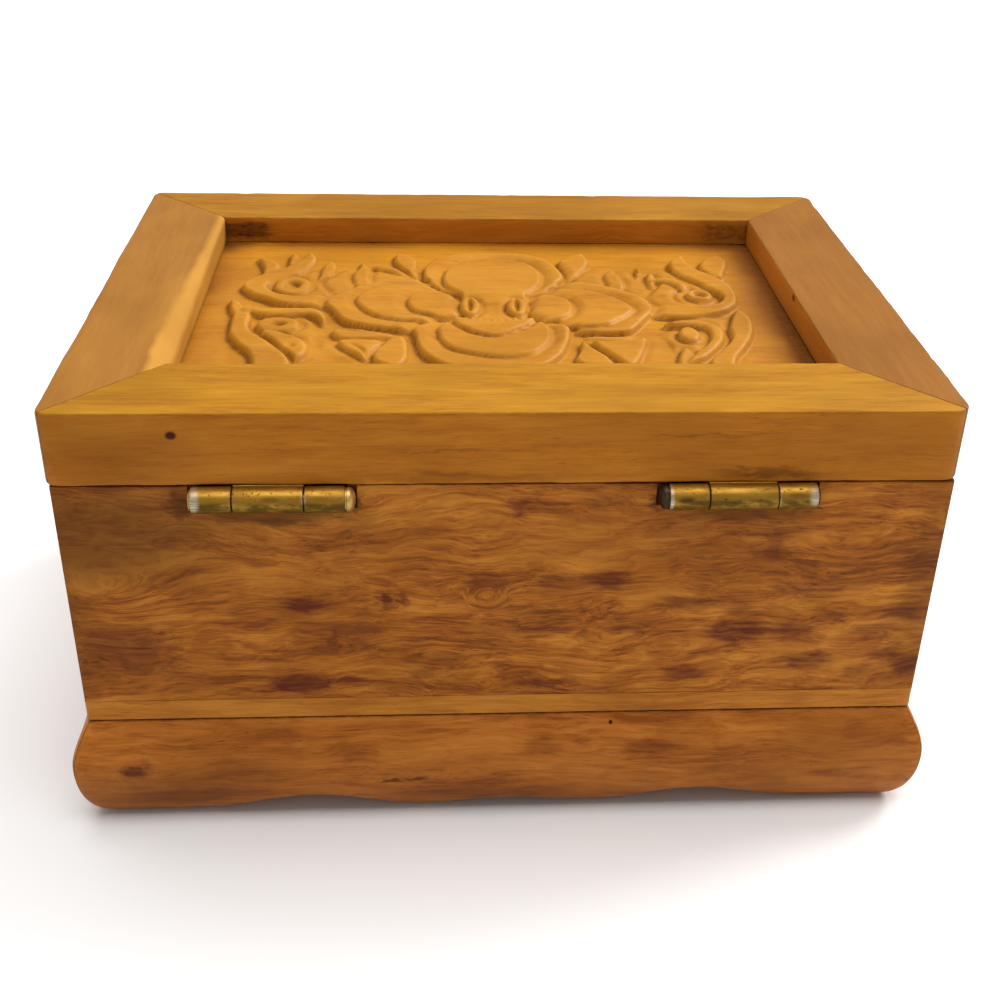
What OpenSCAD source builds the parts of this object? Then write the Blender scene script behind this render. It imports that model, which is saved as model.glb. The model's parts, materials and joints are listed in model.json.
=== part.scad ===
// Keepsake box: a mitred wooden box on a scalloped skirt, with a carved panel set in a framed lid
// that swings on two small brass butt hinges. The front faces -Y and the hinges are at +Y.
// The origin lies on the table under the middle of the box. Millimetres.

/* [Lid] */
// Width of the lid
lid_w = 154; // [140:1:220]
// Depth of the lid from front to back
lid_d = 118; // [105:1:180]
// Thickness of the lid's frame
lid_t = 13.2; // [12:0.1:18]
// Width of the frame's rails at the front and at both ends
rail_w = 18.2; // [16:0.1:24]
// Width of the frame's rail at the hinges
back_rail_w = 20.1; // [17:0.1:24]
// Rounding of the lid's four corners, seen from above
lid_corner_r = 2; // [1:0.1:4]
// Depth of the panel's ground below the frame's top face
panel_recess = 5.7; // [4.5:0.1:6.5]
// Thickness of the panel without its carving
panel_t = 6.5; // [4:0.1:7]
// How far the panel reaches under the frame's lip
panel_lap = 4; // [2.5:0.1:5]

/* [Carving] */
// Height of the carving's rims and leaves above the panel's ground
carving_h = 1.3; // [0.8:0.1:2]
// Height of the petals' hollows above the panel's ground
hollow_h = 0.7; // [0.3:0.1:0.7]
// Width of the rims round the boss, the petals and the scrolls
rim_w = 2.4; // [1.5:0.1:3]
// Radius of the boss in the middle of the flower
boss_r = 5.5; // [4:0.1:7]
// Radius of the two round petals
petal_r = 12.5; // [9:0.1:13]
// Distance from the middle of the flower to the middle of a round petal
petal_reach = 13; // [11:0.1:13.5]
// Length of the two long petals, from the middle of the flower to the tip
long_petal = 29; // [24:0.5:31]
// Width of the two long petals
long_petal_w = 22; // [18:0.5:24]
// Length of the leaves in the fans between the petals
fan_leaf = 18; // [12:0.5:20]
// Width of the leaves in the fans
fan_leaf_w = 3.6; // [2:0.1:4]
// Angle from one leaf of a fan to the next
fan_spread = 24; // [18:1:28]
// Radius of the four corner scrolls
scroll_r = 9; // [7:0.1:10]
// Distance between the scrolls' middles from side to side
scroll_spacing_x = 84; // [78:1:90]
// Distance between the scrolls' middles from front to back
scroll_spacing_y = 40; // [36:1:46]

/* [Body] */
// How far the lid stands out past the walls
lid_overhang = 0.5; // [0.3:0.1:0.7]
// Gap between the closed lid and the walls
lid_gap = 0.25; // [0.1:0.05:0.4]
// Thickness of the four walls
wall_t = 9; // [8.8:0.1:12]
// Height of the four walls
wall_h = 44.4; // [30:0.1:80]
// Thickness of the bottom board, whose edges show under the walls
bottom_t = 4.2; // [3:0.1:8]

/* [Skirt] */
// Height of the skirt that the box stands on
skirt_h = 22.4; // [18:0.1:30]
// How far the skirt swells out past the walls
skirt_bulge = 3.4; // [3.3:0.1:5]
// Height of the skirt's widest point above the table
widest_z = 12.4; // [9:0.1:14]
// How far the curve below the widest point draws in again
foot_undercut = 6; // [3:0.1:7]
// How far the skirt's top edge stands in from the walls
skirt_inset = 0.2; // [0:0.1:0.5]
// Distance from the walls' outer face to the skirt's inner face
skirt_t = 10.5; // [9:0.1:14]
// Length of each corner foot along a side, from the walls' corner
foot_len = 19.5; // [15:0.1:24]
// Rise of the arches beside the feet
arch_rise = 5.1; // [3:0.1:7]
// Rise of the low arch in the middle of each side
middle_rise = 2.7; // [1.5:0.1:4]
// Width of the low arch at the front and the back
middle_arch_w = 32; // [24:1:40]
// Width of the low arch at both ends
end_middle_arch_w = 22; // [16:1:26]
// Gap between the table and the drops on both sides of a low arch
drop_gap = 0.3; // [0.2:0.1:0.6]

/* [Hinges] */
// Length of a hinge
hinge_len = 25.4; // [22:0.1:30]
// Distance between the middles of the two hinges
hinge_spacing = 79.8; // [60:0.1:90]
// How far the pair of hinges sits to the right of the middle, seen from the front
hinge_shift = 0.6; // [0:0.1:2]
// Outer diameter of the barrel
barrel_d = 4.6; // [4:0.1:4.8]
// Length of the middle knuckle, which belongs to the lid's leaf
middle_knuckle = 11.6; // [9:0.1:14]
// Diameter of the pin
pin_d = 2.3; // [1.8:0.1:2.6]
// Diameter of the pin's domed head
pin_head_d = 4.2; // [3.4:0.1:4.4]
// Height of the pin's domed head
pin_head_h = 1.7; // [1:0.1:2]
// Diameter of the pin's hammered end
peen_d = 3.6; // [3:0.1:4]
// Height of the pin's hammered end
peen_h = 0.5; // [0.3:0.1:0.8]
// Thickness of a leaf
leaf_t = 1; // [0.9:0.1:1.3]
// Width of a leaf, from the pin's axis
leaf_w = 9.5; // [9:0.1:9.8]
// How far the pin's axis stands out from the back wall
axis_out = 1; // [0.8:0.1:1.1]

/* [Screws] */
// Diameter of a screw's shank
screw_d = 2.2; // [1.6:0.1:2.4]
// Diameter of a screw's head
screw_head_d = 4; // [3.4:0.1:4]
// Length of a screw
screw_len = 9; // [6:0.5:10]
// Width of the slot in a screw's head
screw_slot_w = 0.6; // [0.4:0.1:0.8]
// Depth of the slot in a screw's head
screw_slot_depth = 0.4; // [0.3:0.1:0.6]
// Distance between the two screws of a leaf
screw_spacing = 14; // [12:0.5:15]

/* [Fits] */
// Clearance round the panel's edge
panel_clearance = 0.15; // [0.1:0.05:0.3]
// Radial clearance of the pin in the knuckles
pin_clearance = 0.05; // [0.03:0.01:0.08]
// Gap between neighbouring knuckles, and between a leaf and the other leaf's knuckle
knuckle_gap = 0.2; // [0.15:0.05:0.3]
// Clearance of the barrel below the lid and above the notch's floor
barrel_clearance = 0.15; // [0.1:0.05:0.2]
// Clearance at each end of a hinge in its notch
notch_clearance = 0.3; // [0.2:0.1:0.6]
// Radial clearance of a screw in its hole
screw_clearance = 0.05; // [0.03:0.01:0.1]
// Free depth of a pilot hole past the screw's tip
pilot_extra = 0.5; // [0.2:0.1:1]

/* [Hidden] */
$fn = 48;

// Reach of a cut past the face it cuts through
cut = 1;

// Outer size of the four walls
box_w = lid_w - 2 * lid_overhang;
box_d = lid_d - 2 * lid_overhang;

// Heights above the table
walls_z = skirt_h + bottom_t;
wall_top_z = walls_z + wall_h;
lid_z = wall_top_z + lid_gap;
lid_top_z = lid_z + lid_t;
ground_z = lid_top_z - panel_recess;

// The lid's opening, seen from above
opening_x = lid_w / 2 - rail_w;
opening_front_y = -lid_d / 2 + rail_w;
opening_back_y = lid_d / 2 - back_rail_w;
opening_d = opening_back_y - opening_front_y;
opening_mid_y = (opening_back_y + opening_front_y) / 2;

// The hinge's pin, and the leaves' outer faces on both sides of it
barrel_r = barrel_d / 2;
leaf_face = barrel_r + barrel_clearance;
axis_y = box_d / 2 + axis_out;
axis_z = lid_z - leaf_face;

// Screws sit in the middle of the leaf between its edge and the barrel
screw_y = -(leaf_w + barrel_r) / 2;

// Outlines of the lid

module lid_outline() {
    corner_x = lid_w / 2 - lid_corner_r;
    corner_y = lid_d / 2 - lid_corner_r;
    square([lid_w, 2 * corner_y], center = true);
    square([2 * corner_x, lid_d], center = true);
    for (x = [-corner_x, corner_x], y = [-corner_y, corner_y])
        translate([x, y]) circle(r = lid_corner_r);
}

module lid_opening(extra) {
    translate([0, opening_mid_y])
        square([2 * (opening_x + extra), opening_d + 2 * extra], center = true);
}

// The whole frame, rebated from below for the panel
module lid_frame() {
    difference() {
        translate([0, 0, lid_z]) linear_extrude(lid_t) lid_outline();
        translate([0, 0, lid_z - cut]) linear_extrude(lid_t + 2 * cut) lid_opening(0);
        translate([0, 0, lid_z - cut]) linear_extrude(ground_z - lid_z + cut) lid_opening(panel_lap);
    }
}

// One rail: the part of the frame between two mitres, each from an outer corner to an inner one
module rail_between(outer_a, outer_b, inner_b, inner_a) {
    color("peru") intersection() {
        lid_frame();
        translate([0, 0, lid_z - cut])
            linear_extrude(lid_t + 2 * cut) polygon([outer_a, outer_b, inner_b, inner_a]);
    }
}

outer_back_left = [-lid_w / 2, lid_d / 2];
outer_back_right = [lid_w / 2, lid_d / 2];
outer_front_left = [-lid_w / 2, -lid_d / 2];
outer_front_right = [lid_w / 2, -lid_d / 2];
inner_back_left = [-opening_x, opening_back_y];
inner_back_right = [opening_x, opening_back_y];
inner_front_left = [-opening_x, opening_front_y];
inner_front_right = [opening_x, opening_front_y];

module lid_back_rail() {
    color("peru") difference() {
        rail_between(outer_back_left, outer_back_right, inner_back_right, inner_back_left);
        for (side = [-1, 1]) at_hinge(side) mirror([0, 0, 1]) pilot_holes();
    }
}

module lid_front_rail() {
    rail_between(outer_front_right, outer_front_left, inner_front_left, inner_front_right);
}

module lid_left_rail() {
    rail_between(outer_front_left, outer_back_left, inner_back_left, inner_front_left);
}

module lid_right_rail() {
    rail_between(outer_back_right, outer_front_right, inner_front_right, inner_back_right);
}

// The panel and its carving

module lid_carved_panel() {
    color("goldenrod") {
        translate([0, 0, ground_z - panel_t])
            linear_extrude(panel_t) lid_opening(panel_lap - panel_clearance);
        translate([0, opening_mid_y, ground_z]) carving();
    }
}

// A lens with two pointed tips, along X from the origin
module leaf_shape(length, width, h) {
    r = (length * length / 4 + width * width / 4) / width;
    translate([length / 2, 0, 0]) intersection() {
        translate([0, r - width / 2, 0]) cylinder(r = r, h = h, $fn = 96);
        translate([0, width / 2 - r, 0]) cylinder(r = r, h = h, $fn = 96);
    }
}

// A round form with a high rim and a hollow inside it
module rimmed_disc(r) {
    cylinder(r = r, h = hollow_h);
    difference() {
        cylinder(r = r, h = carving_h);
        translate([0, 0, -cut]) cylinder(r = r - rim_w, h = carving_h + 2 * cut);
    }
}

// A full-height plug that clears the room of a round form up to the middle of its rim
module rim_cut(r) {
    translate([0, 0, -cut]) cylinder(r = r - rim_w / 2, h = carving_h + 2 * cut);
}

// The long petals start at the inner side of the boss's rim
petal_start = boss_r - rim_w;

module long_petal() {
    length = long_petal - petal_start;
    translate([petal_start, 0, 0]) difference() {
        leaf_shape(length, long_petal_w, carving_h);
        translate([2 * rim_w, 0, hollow_h])
            leaf_shape(length - 4 * rim_w, long_petal_w - 2 * rim_w, carving_h);
    }
}

// The round petals lie over the long ones, and the boss lies over all four
module petals() {
    difference() {
        for (y = [-1, 1]) translate([0, y * petal_reach, 0]) rimmed_disc(petal_r);
        rim_cut(boss_r);
    }
    difference() {
        for (x = [0, 1]) mirror([x, 0, 0]) long_petal();
        for (y = [-1, 1]) translate([0, y * petal_reach, 0]) rim_cut(petal_r);
        rim_cut(boss_r);
    }
}

// Three leaves that spread from the rims where a round petal crosses a long one
fan_angle = 41;
fan_start = petal_reach + rim_w / 2;

module leaf_fan() {
    rotate([0, 0, fan_angle]) translate([fan_start, 0, 0])
        for (turn = [-fan_spread, 0, fan_spread])
            rotate([0, 0, turn]) leaf_shape(fan_leaf, fan_leaf_w, carving_h);
}

// A scroll's ring and eye, with a leaf that curls away from each of its sides
scroll_leaf_angles = [-30, 100];

module scroll() {
    rimmed_disc(scroll_r);
    cylinder(r = rim_w, h = carving_h);
    for (angle = scroll_leaf_angles) rotate([0, 0, angle]) translate([scroll_r - rim_w / 2, 0, 0])
        leaf_shape(scroll_r, 2 * rim_w, carving_h);
}

module carving() {
    rimmed_disc(boss_r);
    petals();
    for (x = [0, 1], y = [0, 1]) mirror([x, 0, 0]) mirror([0, y, 0]) {
        leaf_fan();
        translate([scroll_spacing_x / 2, scroll_spacing_y / 2, 0]) scroll();
    }
}

// The four sides of the body, each built as the back one and turned into place

// Plan of a side between its two mitres; y is 0 at the walls' outer face
module mitred_plan(length, outward, inward) {
    polygon([
        [-length / 2 - outward, outward],
        [length / 2 + outward, outward],
        [length / 2 - inward, -inward],
        [-length / 2 + inward, -inward]
    ]);
}

// Turns a side from the back: 1 is the left end, 2 the front and 3 the right end
module to_side(quarter_turns) {
    distance = quarter_turns % 2 == 0 ? box_d / 2 : box_w / 2;
    rotate([0, 0, 90 * quarter_turns]) translate([0, distance, 0]) children();
}

module wall(length) {
    color("sienna") translate([0, 0, walls_z]) linear_extrude(wall_h) mitred_plan(length, 0, wall_t);
}

module back_wall() {
    color("sienna") difference() {
        to_side(0) wall(box_w);
        for (side = [-1, 1]) at_hinge(side) {
            hinge_notch();
            pilot_holes();
        }
    }
}

module front_wall() {
    to_side(2) wall(box_w);
}

module left_wall() {
    to_side(1) wall(box_d);
}

module right_wall() {
    to_side(3) wall(box_d);
}

module bottom_board() {
    color("peru") translate([-box_w / 2, -box_d / 2, skirt_h]) cube([box_w, box_d, bottom_t]);
}

// The skirt's cross-section: a quarter ellipse up to the widest point, then an easing slope
profile_steps = 8;
skirt_profile = [
    [-skirt_t, 0],
    for (i = [0 : profile_steps]) [
        skirt_bulge - foot_undercut * (1 - sin(90 * i / profile_steps)),
        widest_z * (1 - cos(90 * i / profile_steps))
    ],
    for (i = [1 : profile_steps]) [
        -skirt_inset + (skirt_bulge + skirt_inset) * cos(90 * i / profile_steps),
        widest_z + (skirt_h - widest_z) * i / profile_steps
    ],
    [-skirt_t, skirt_h]
];

// A cylinder across the side that cuts an arch of this width and rise into its lower edge
module arch_cut(width, rise) {
    r = (width * width / 4 + rise * rise) / (2 * rise);
    translate([0, 0, rise - r]) rotate([90, 0, 0])
        cylinder(r = r, h = 4 * skirt_t, center = true, $fn = 96);
}

module skirt(length, low_arch_w) {
    high_arch_w = length / 2 - foot_len - low_arch_w / 2;
    flat_w = drop_gap * (high_arch_w / arch_rise + low_arch_w / middle_rise);
    color("sienna") difference() {
        intersection() {
            translate([-length, 0, 0]) rotate([90, 0, 90]) linear_extrude(2 * length) polygon(skirt_profile);
            linear_extrude(skirt_h) mitred_plan(length, skirt_bulge + cut, skirt_t);
        }
        arch_cut(low_arch_w, middle_rise);
        for (side = [-1, 1]) {
            translate([side * (low_arch_w + high_arch_w) / 2, 0, 0]) arch_cut(high_arch_w, arch_rise);
            translate([side * low_arch_w / 2, 0, 0])
                cube([flat_w, 4 * skirt_t, 2 * drop_gap], center = true);
        }
    }
}

module back_skirt() {
    to_side(0) skirt(box_w, middle_arch_w);
}

module front_skirt() {
    to_side(2) skirt(box_w, middle_arch_w);
}

module left_skirt() {
    to_side(1) skirt(box_d, end_middle_arch_w);
}

module right_skirt() {
    to_side(3) skirt(box_d, end_middle_arch_w);
}

// Hinges: x runs along the pin, with its head at the low end, and the leaves reach towards -y

// Places a right hinge for 1, or its mirror image, the left one, for -1
module at_hinge(side) {
    translate([hinge_shift + side * hinge_spacing / 2, axis_y, axis_z])
        mirror([side < 0 ? 1 : 0, 0, 0]) children();
}

module hinge_notch() {
    low_x = -hinge_len / 2 - pin_head_h - notch_clearance;
    high_x = hinge_len / 2 + peen_h + notch_clearance;
    translate([low_x, -axis_out - wall_t - cut, -leaf_face])
        cube([high_x - low_x, wall_t + 2 * cut, 2 * leaf_face + cut]);
}

module along_x(low_x, high_x, r) {
    translate([low_x, 0, 0]) rotate([0, 90, 0]) cylinder(r = r, h = high_x - low_x);
}

// The middle knuckle's space, between the two outer ones
inner_end = middle_knuckle / 2 + knuckle_gap;

// The box's leaf: outer knuckles, and a plate on the notch's floor
module box_leaf() {
    color("goldenrod") difference() {
        union() {
            leaf_plate();
            along_x(-hinge_len / 2, -inner_end, barrel_r);
            along_x(inner_end, hinge_len / 2, barrel_r);
        }
        along_x(-hinge_len / 2 - cut, hinge_len / 2 + cut, pin_d / 2 + pin_clearance);
        translate([-inner_end, -barrel_r - knuckle_gap, -leaf_face - cut])
            cube([2 * inner_end, 2 * barrel_r + 2 * knuckle_gap, 2 * leaf_face + 2 * cut]);
        screw_holes();
    }
}

// The lid's leaf: the middle knuckle, and a plate under the lid
module lid_leaf() {
    color("goldenrod") difference() {
        union() {
            mirror([0, 0, 1]) leaf_plate();
            along_x(-middle_knuckle / 2, middle_knuckle / 2, barrel_r);
        }
        along_x(-hinge_len / 2 - cut, hinge_len / 2 + cut, pin_d / 2 + pin_clearance);
        for (low_x = [-hinge_len / 2 - cut, middle_knuckle / 2])
            translate([low_x, -barrel_r - knuckle_gap, -leaf_face - cut])
                cube([
                    (hinge_len - middle_knuckle) / 2 + cut,
                    2 * barrel_r + 2 * knuckle_gap,
                    2 * leaf_face + 2 * cut
                ]);
        mirror([0, 0, 1]) screw_holes();
    }
}

// The plate of the box's leaf, whose outer face lies below the pin, and which ends at the barrel
module leaf_plate() {
    plate_end = axis_out / 2;
    translate([-hinge_len / 2, -leaf_w, -leaf_face]) cube([hinge_len, leaf_w - plate_end, leaf_t]);
}

// A cone and a shank, grown by a clearance for the holes
module screw_form(clearance, length) {
    shank_r = screw_d / 2 + clearance;
    head_r = screw_head_d / 2 + clearance;
    rotate([180, 0, 0]) {
        cylinder(r1 = head_r, r2 = shank_r, h = head_r - shank_r);
        cylinder(r = shank_r, h = length);
    }
}

// The screws start at the leaf's inner face
module at_screws() {
    for (x = [-screw_spacing / 2, screw_spacing / 2])
        translate([x, screw_y, -leaf_face + leaf_t]) children();
}

module screw_holes() {
    at_screws() {
        screw_form(screw_clearance, leaf_t + cut);
        cylinder(r = screw_head_d / 2 + screw_clearance, h = cut);
    }
}

module pilot_holes() {
    at_screws() screw_form(screw_clearance, screw_len + pilot_extra);
}

module screws() {
    tip_h = screw_d;
    color("darkgoldenrod") at_screws() difference() {
        union() {
            screw_form(0, screw_len - tip_h);
            translate([0, 0, -screw_len]) cylinder(r1 = 0, r2 = screw_d / 2, h = tip_h);
        }
        cube([2 * screw_head_d, screw_slot_w, 2 * screw_slot_depth], center = true);
    }
}

module hinge_pin() {
    head_r = pin_head_d / 2;
    dome_r = (head_r * head_r + pin_head_h * pin_head_h) / (2 * pin_head_h);
    color("khaki") {
        along_x(-hinge_len / 2 - pin_head_h / 2, hinge_len / 2 + peen_h, pin_d / 2);
        along_x(hinge_len / 2, hinge_len / 2 + peen_h, peen_d / 2);
        intersection() {
            translate([-hinge_len / 2 - pin_head_h + dome_r, 0, 0]) sphere(r = dome_r);
            along_x(-hinge_len / 2 - 2 * pin_head_h, -hinge_len / 2, 2 * head_r);
        }
    }
}

module left_hinge_box_leaf() {
    at_hinge(-1) box_leaf();
}

module left_hinge_lid_leaf() {
    at_hinge(-1) lid_leaf();
}

module left_hinge_pin() {
    at_hinge(-1) hinge_pin();
}

module left_hinge_box_screws() {
    at_hinge(-1) screws();
}

module left_hinge_lid_screws() {
    at_hinge(-1) mirror([0, 0, 1]) screws();
}

module right_hinge_box_leaf() {
    at_hinge(1) box_leaf();
}

module right_hinge_lid_leaf() {
    at_hinge(1) lid_leaf();
}

module right_hinge_pin() {
    at_hinge(1) hinge_pin();
}

module right_hinge_box_screws() {
    at_hinge(1) screws();
}

module right_hinge_lid_screws() {
    at_hinge(1) mirror([0, 0, 1]) screws();
}

lid_back_rail();
lid_front_rail();
lid_left_rail();
lid_right_rail();
lid_carved_panel();
back_wall();
front_wall();
left_wall();
right_wall();
bottom_board();
back_skirt();
front_skirt();
left_skirt();
right_skirt();
left_hinge_box_leaf();
left_hinge_lid_leaf();
left_hinge_pin();
left_hinge_box_screws();
left_hinge_lid_screws();
right_hinge_box_leaf();
right_hinge_lid_leaf();
right_hinge_pin();
right_hinge_box_screws();
right_hinge_lid_screws();
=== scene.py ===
import json
import math

import bmesh
import bpy
import numpy as np
from mathutils import Matrix, Vector


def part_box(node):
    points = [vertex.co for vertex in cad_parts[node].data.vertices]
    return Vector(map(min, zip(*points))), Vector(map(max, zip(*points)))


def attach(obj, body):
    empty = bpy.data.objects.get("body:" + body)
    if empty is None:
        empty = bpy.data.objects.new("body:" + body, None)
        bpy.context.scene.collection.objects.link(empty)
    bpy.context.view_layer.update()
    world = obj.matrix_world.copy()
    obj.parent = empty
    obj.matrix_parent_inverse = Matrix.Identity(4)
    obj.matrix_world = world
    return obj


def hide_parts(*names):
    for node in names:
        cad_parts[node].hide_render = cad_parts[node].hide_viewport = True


# A worn wooden keepsake box: a framed, carved lid on brass hinges, plain walls and a scalloped skirt.
# Sizes are written in millimetres and turned into metres where meshes are made.
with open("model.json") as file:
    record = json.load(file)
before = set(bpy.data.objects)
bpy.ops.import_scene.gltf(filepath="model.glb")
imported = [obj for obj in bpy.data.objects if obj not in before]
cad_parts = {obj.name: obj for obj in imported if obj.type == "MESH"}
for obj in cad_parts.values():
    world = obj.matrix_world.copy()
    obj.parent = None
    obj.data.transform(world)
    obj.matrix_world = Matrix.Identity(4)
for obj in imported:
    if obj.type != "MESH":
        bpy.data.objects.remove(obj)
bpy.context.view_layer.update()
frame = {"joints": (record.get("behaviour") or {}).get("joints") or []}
MM = 0.001


def box_mm(node):
    """A CAD node's lowest and highest corners, in millimetres."""
    low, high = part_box(node)
    return low / MM, high / MM


# Places taken from the frame
LID_LOW, LID_HIGH = box_mm("lid_left_rail")[0], box_mm("lid_right_rail")[1]
LID_HALF_X, LID_HALF_Y = LID_HIGH.x, box_mm("lid_back_rail")[1].y
LID_Z, LID_TOP_Z = LID_LOW.z, LID_HIGH.z
OPENING_X = -box_mm("lid_left_rail")[1].x
OPENING_FRONT_Y = box_mm("lid_front_rail")[1].y
OPENING_BACK_Y = box_mm("lid_back_rail")[0].y
PANEL_LOW, PANEL_HIGH = box_mm("lid_carved_panel")
WALL_LOW, WALL_HIGH = box_mm("back_wall")
WALL_HALF_X, WALL_HALF_Y = WALL_HIGH.x, WALL_HIGH.y
BOARD_LOW, BOARD_HIGH = box_mm("bottom_board")
SKIRT_H = box_mm("back_skirt")[1].z
AXIS = Vector(frame["joints"][0]["pos_m"]) / MM
RAIL_W = {"back": LID_HALF_Y - OPENING_BACK_Y, "front": LID_HALF_Y + OPENING_FRONT_Y}
RAIL_W["left"] = RAIL_W["right"] = LID_HALF_X - OPENING_X

# Sizes that the boxes don't give
PANEL_RECESS = 5.7
PANEL_LAP = 4.0
GROUND_Z = LID_TOP_Z - PANEL_RECESS
LID_CORNER_R = 2.2
WORN_CORNER_R = 3.4
WALL_T = 9.0
WALL_CORNER_R = 0.9
SKIRT_BULGE = 3.4
SKIRT_WIDEST_Z = 12.4
SKIRT_UNDERCUT = 6.0
SKIRT_INSET = 0.2
SKIRT_T = 10.5
SKIRT_CORNER_R = 1.6
FOOT_LEN = 19.5
ARCH_RISE = 5.1
MIDDLE_RISE = 2.7
ARCH_LAP = 1.5
DROP_GAP = 0.3
MIDDLE_ARCH_W = {"back": 32.0, "front": 32.0, "left": 22.0, "right": 22.0}

# Each side of the box is made as its back side and turned by quarter turns, seen from above
TURNS = {"back": 0, "left": 1, "front": 2, "right": 3}
# The sides that a side meets at its low end and at its high one
NEIGHBOURS = {
    "back": ("left", "right"), "left": ("front", "back"),
    "front": ("right", "left"), "right": ("back", "front"),
}


# Small numeric helpers

RIPPLE_GAIN = 1.8


def smoothstep(x):
    """Eases from 0 to 1 while x goes from 0 to 1."""
    x = np.clip(x, 0.0, 1.0)
    return x * x * (3.0 - 2.0 * x)


def ripple(points, wavelength, seed, terms=7):
    """A smooth, seeded waviness of about -1 to 1 at points in millimetres."""
    rng = np.random.default_rng(seed)
    points = np.asarray(points, float)
    total = np.zeros(len(points))
    for _ in range(terms):
        direction = rng.normal(size=points.shape[1])
        direction /= np.linalg.norm(direction)
        pitch = wavelength * rng.uniform(0.6, 1.5)
        total += np.sin(points @ direction * (2 * math.pi / pitch) + rng.uniform(0, 2 * math.pi))
    return total / terms * RIPPLE_GAIN


def spline(points, steps=8, closed=False):
    """A Catmull-Rom curve through points of any dimension."""
    p = np.asarray(points, float)
    n = len(p)
    if closed:
        p = np.vstack([p[-1], p, p[0], p[1]])
    else:
        p = np.vstack([2 * p[0] - p[1], p, 2 * p[-1] - p[-2]])
        n -= 1
    t = np.linspace(0, 1, steps, endpoint=False)[:, None]
    rows = []
    for i in range(n):
        a, b, c, d = p[i : i + 4]
        rows.append(
            0.5 * (2 * b + (c - a) * t + (2 * a - 5 * b + 4 * c - d) * t**2
                   + (3 * b - a - 3 * c + d) * t**3)
        )
    if not closed:
        rows.append(p[-2][None])
    return np.vstack(rows)


# Meshes

SHARP_DEG = 40.0


def add_object(name, data):
    """An object of the scene, made of a mesh, a camera or a light."""
    made = bpy.data.objects.new(name, data)
    bpy.context.scene.collection.objects.link(made)
    return made


def smooth_outward(mesh, sharp_deg=SHARP_DEG):
    """Turns a mesh's normals outward and shades it smooth, but for its sharper edges."""
    bm = bmesh.new()
    bm.from_mesh(mesh)
    bmesh.ops.recalc_face_normals(bm, faces=bm.faces)
    bm.to_mesh(mesh)
    bm.free()
    mesh.shade_smooth()
    mesh.set_sharp_from_angle(angle=math.radians(sharp_deg))


def mesh_object(name, vertices_mm, faces, sharp_deg=SHARP_DEG, **attributes):
    """A mesh from points in millimetres, with values at its points for the shader."""
    mesh = bpy.data.meshes.new(name)
    mesh.from_pydata((np.asarray(vertices_mm, float) * MM).tolist(), [], faces)
    mesh.update()
    for key, values in attributes.items():
        layer = mesh.attributes.new(key, "FLOAT", "POINT")
        layer.data.foreach_set("value", np.asarray(values, np.float32))
    smooth_outward(mesh, sharp_deg)
    return add_object(name, mesh)


def ring_faces(count, size):
    """The faces of a body built of rings of points, with its first and last ring closed."""
    faces = [
        (i * size + k, i * size + (k + 1) % size, (i + 1) * size + (k + 1) % size, (i + 1) * size + k)
        for i in range(count - 1)
        for k in range(size)
    ]
    last = (count - 1) * size
    return faces + [tuple(range(size - 1, -1, -1)), tuple(range(last, last + size))]


def block(name, low, high, ease=0.0):
    """A box between two corners in millimetres, with eased edges if asked."""
    low, high = Vector(low), Vector(high)
    bm = bmesh.new()
    bmesh.ops.create_cube(bm, size=1.0)
    for v in bm.verts:
        v.co = (v.co * (high - low) + (low + high) / 2) * MM
    if ease:
        bmesh.ops.bevel(bm, geom=list(bm.edges), offset=ease * MM, segments=3, profile=0.5, affect="EDGES")
    mesh = bpy.data.meshes.new(name)
    bm.to_mesh(mesh)
    bm.free()
    return add_object(name, mesh)


def combine(target, other, operation="DIFFERENCE"):
    """Applies a boolean of two closed meshes to the first and removes the second."""
    modifier = target.modifiers.new("combine", "BOOLEAN")
    modifier.operation = operation
    modifier.solver = "EXACT"
    modifier.object = other
    bpy.context.view_layer.update()
    shape = bpy.data.meshes.new_from_object(target.evaluated_get(bpy.context.evaluated_depsgraph_get()))
    target.modifiers.clear()
    old = target.data
    target.data = shape
    bpy.data.meshes.remove(old)
    bpy.data.objects.remove(other)


def dress(piece, body, material, node):
    """Gives a piece its material and body, and lets it stand for its CAD node."""
    piece.data.materials.clear()
    piece.data.materials.append(material)
    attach(piece, body)
    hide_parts(node)


# Sides that run from mitre to mitre, swept from a cross-section
#
# A side has its own coordinates: s along its length, o outward from its outer face, z up.

ARC_STEPS = 5
# The share of its half length over which a side keeps its even spacing; the rest stretches to its mitre
STRAIGHT = 0.62
# The groove at each mitre: its depth, its reach along the side, and its soil
GROOVE, GROOVE_REACH, GROOVE_SOIL = 0.14, 0.25, 0.85
MITRE_FADE = 7.0
# The lengths of the waves of wear along an edge: slow ones, quick ones and those that make nicks
WEAR_PITCHES = (17, 4.5, 7.0)
NICK_FLOOR = 0.62
LEAST_EASE = 0.08
# How round an eased edge is, and the easing of an edge that nothing wears
ROUND, CRISP = 0.9, 0.1
SEED_STEP = 7


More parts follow.
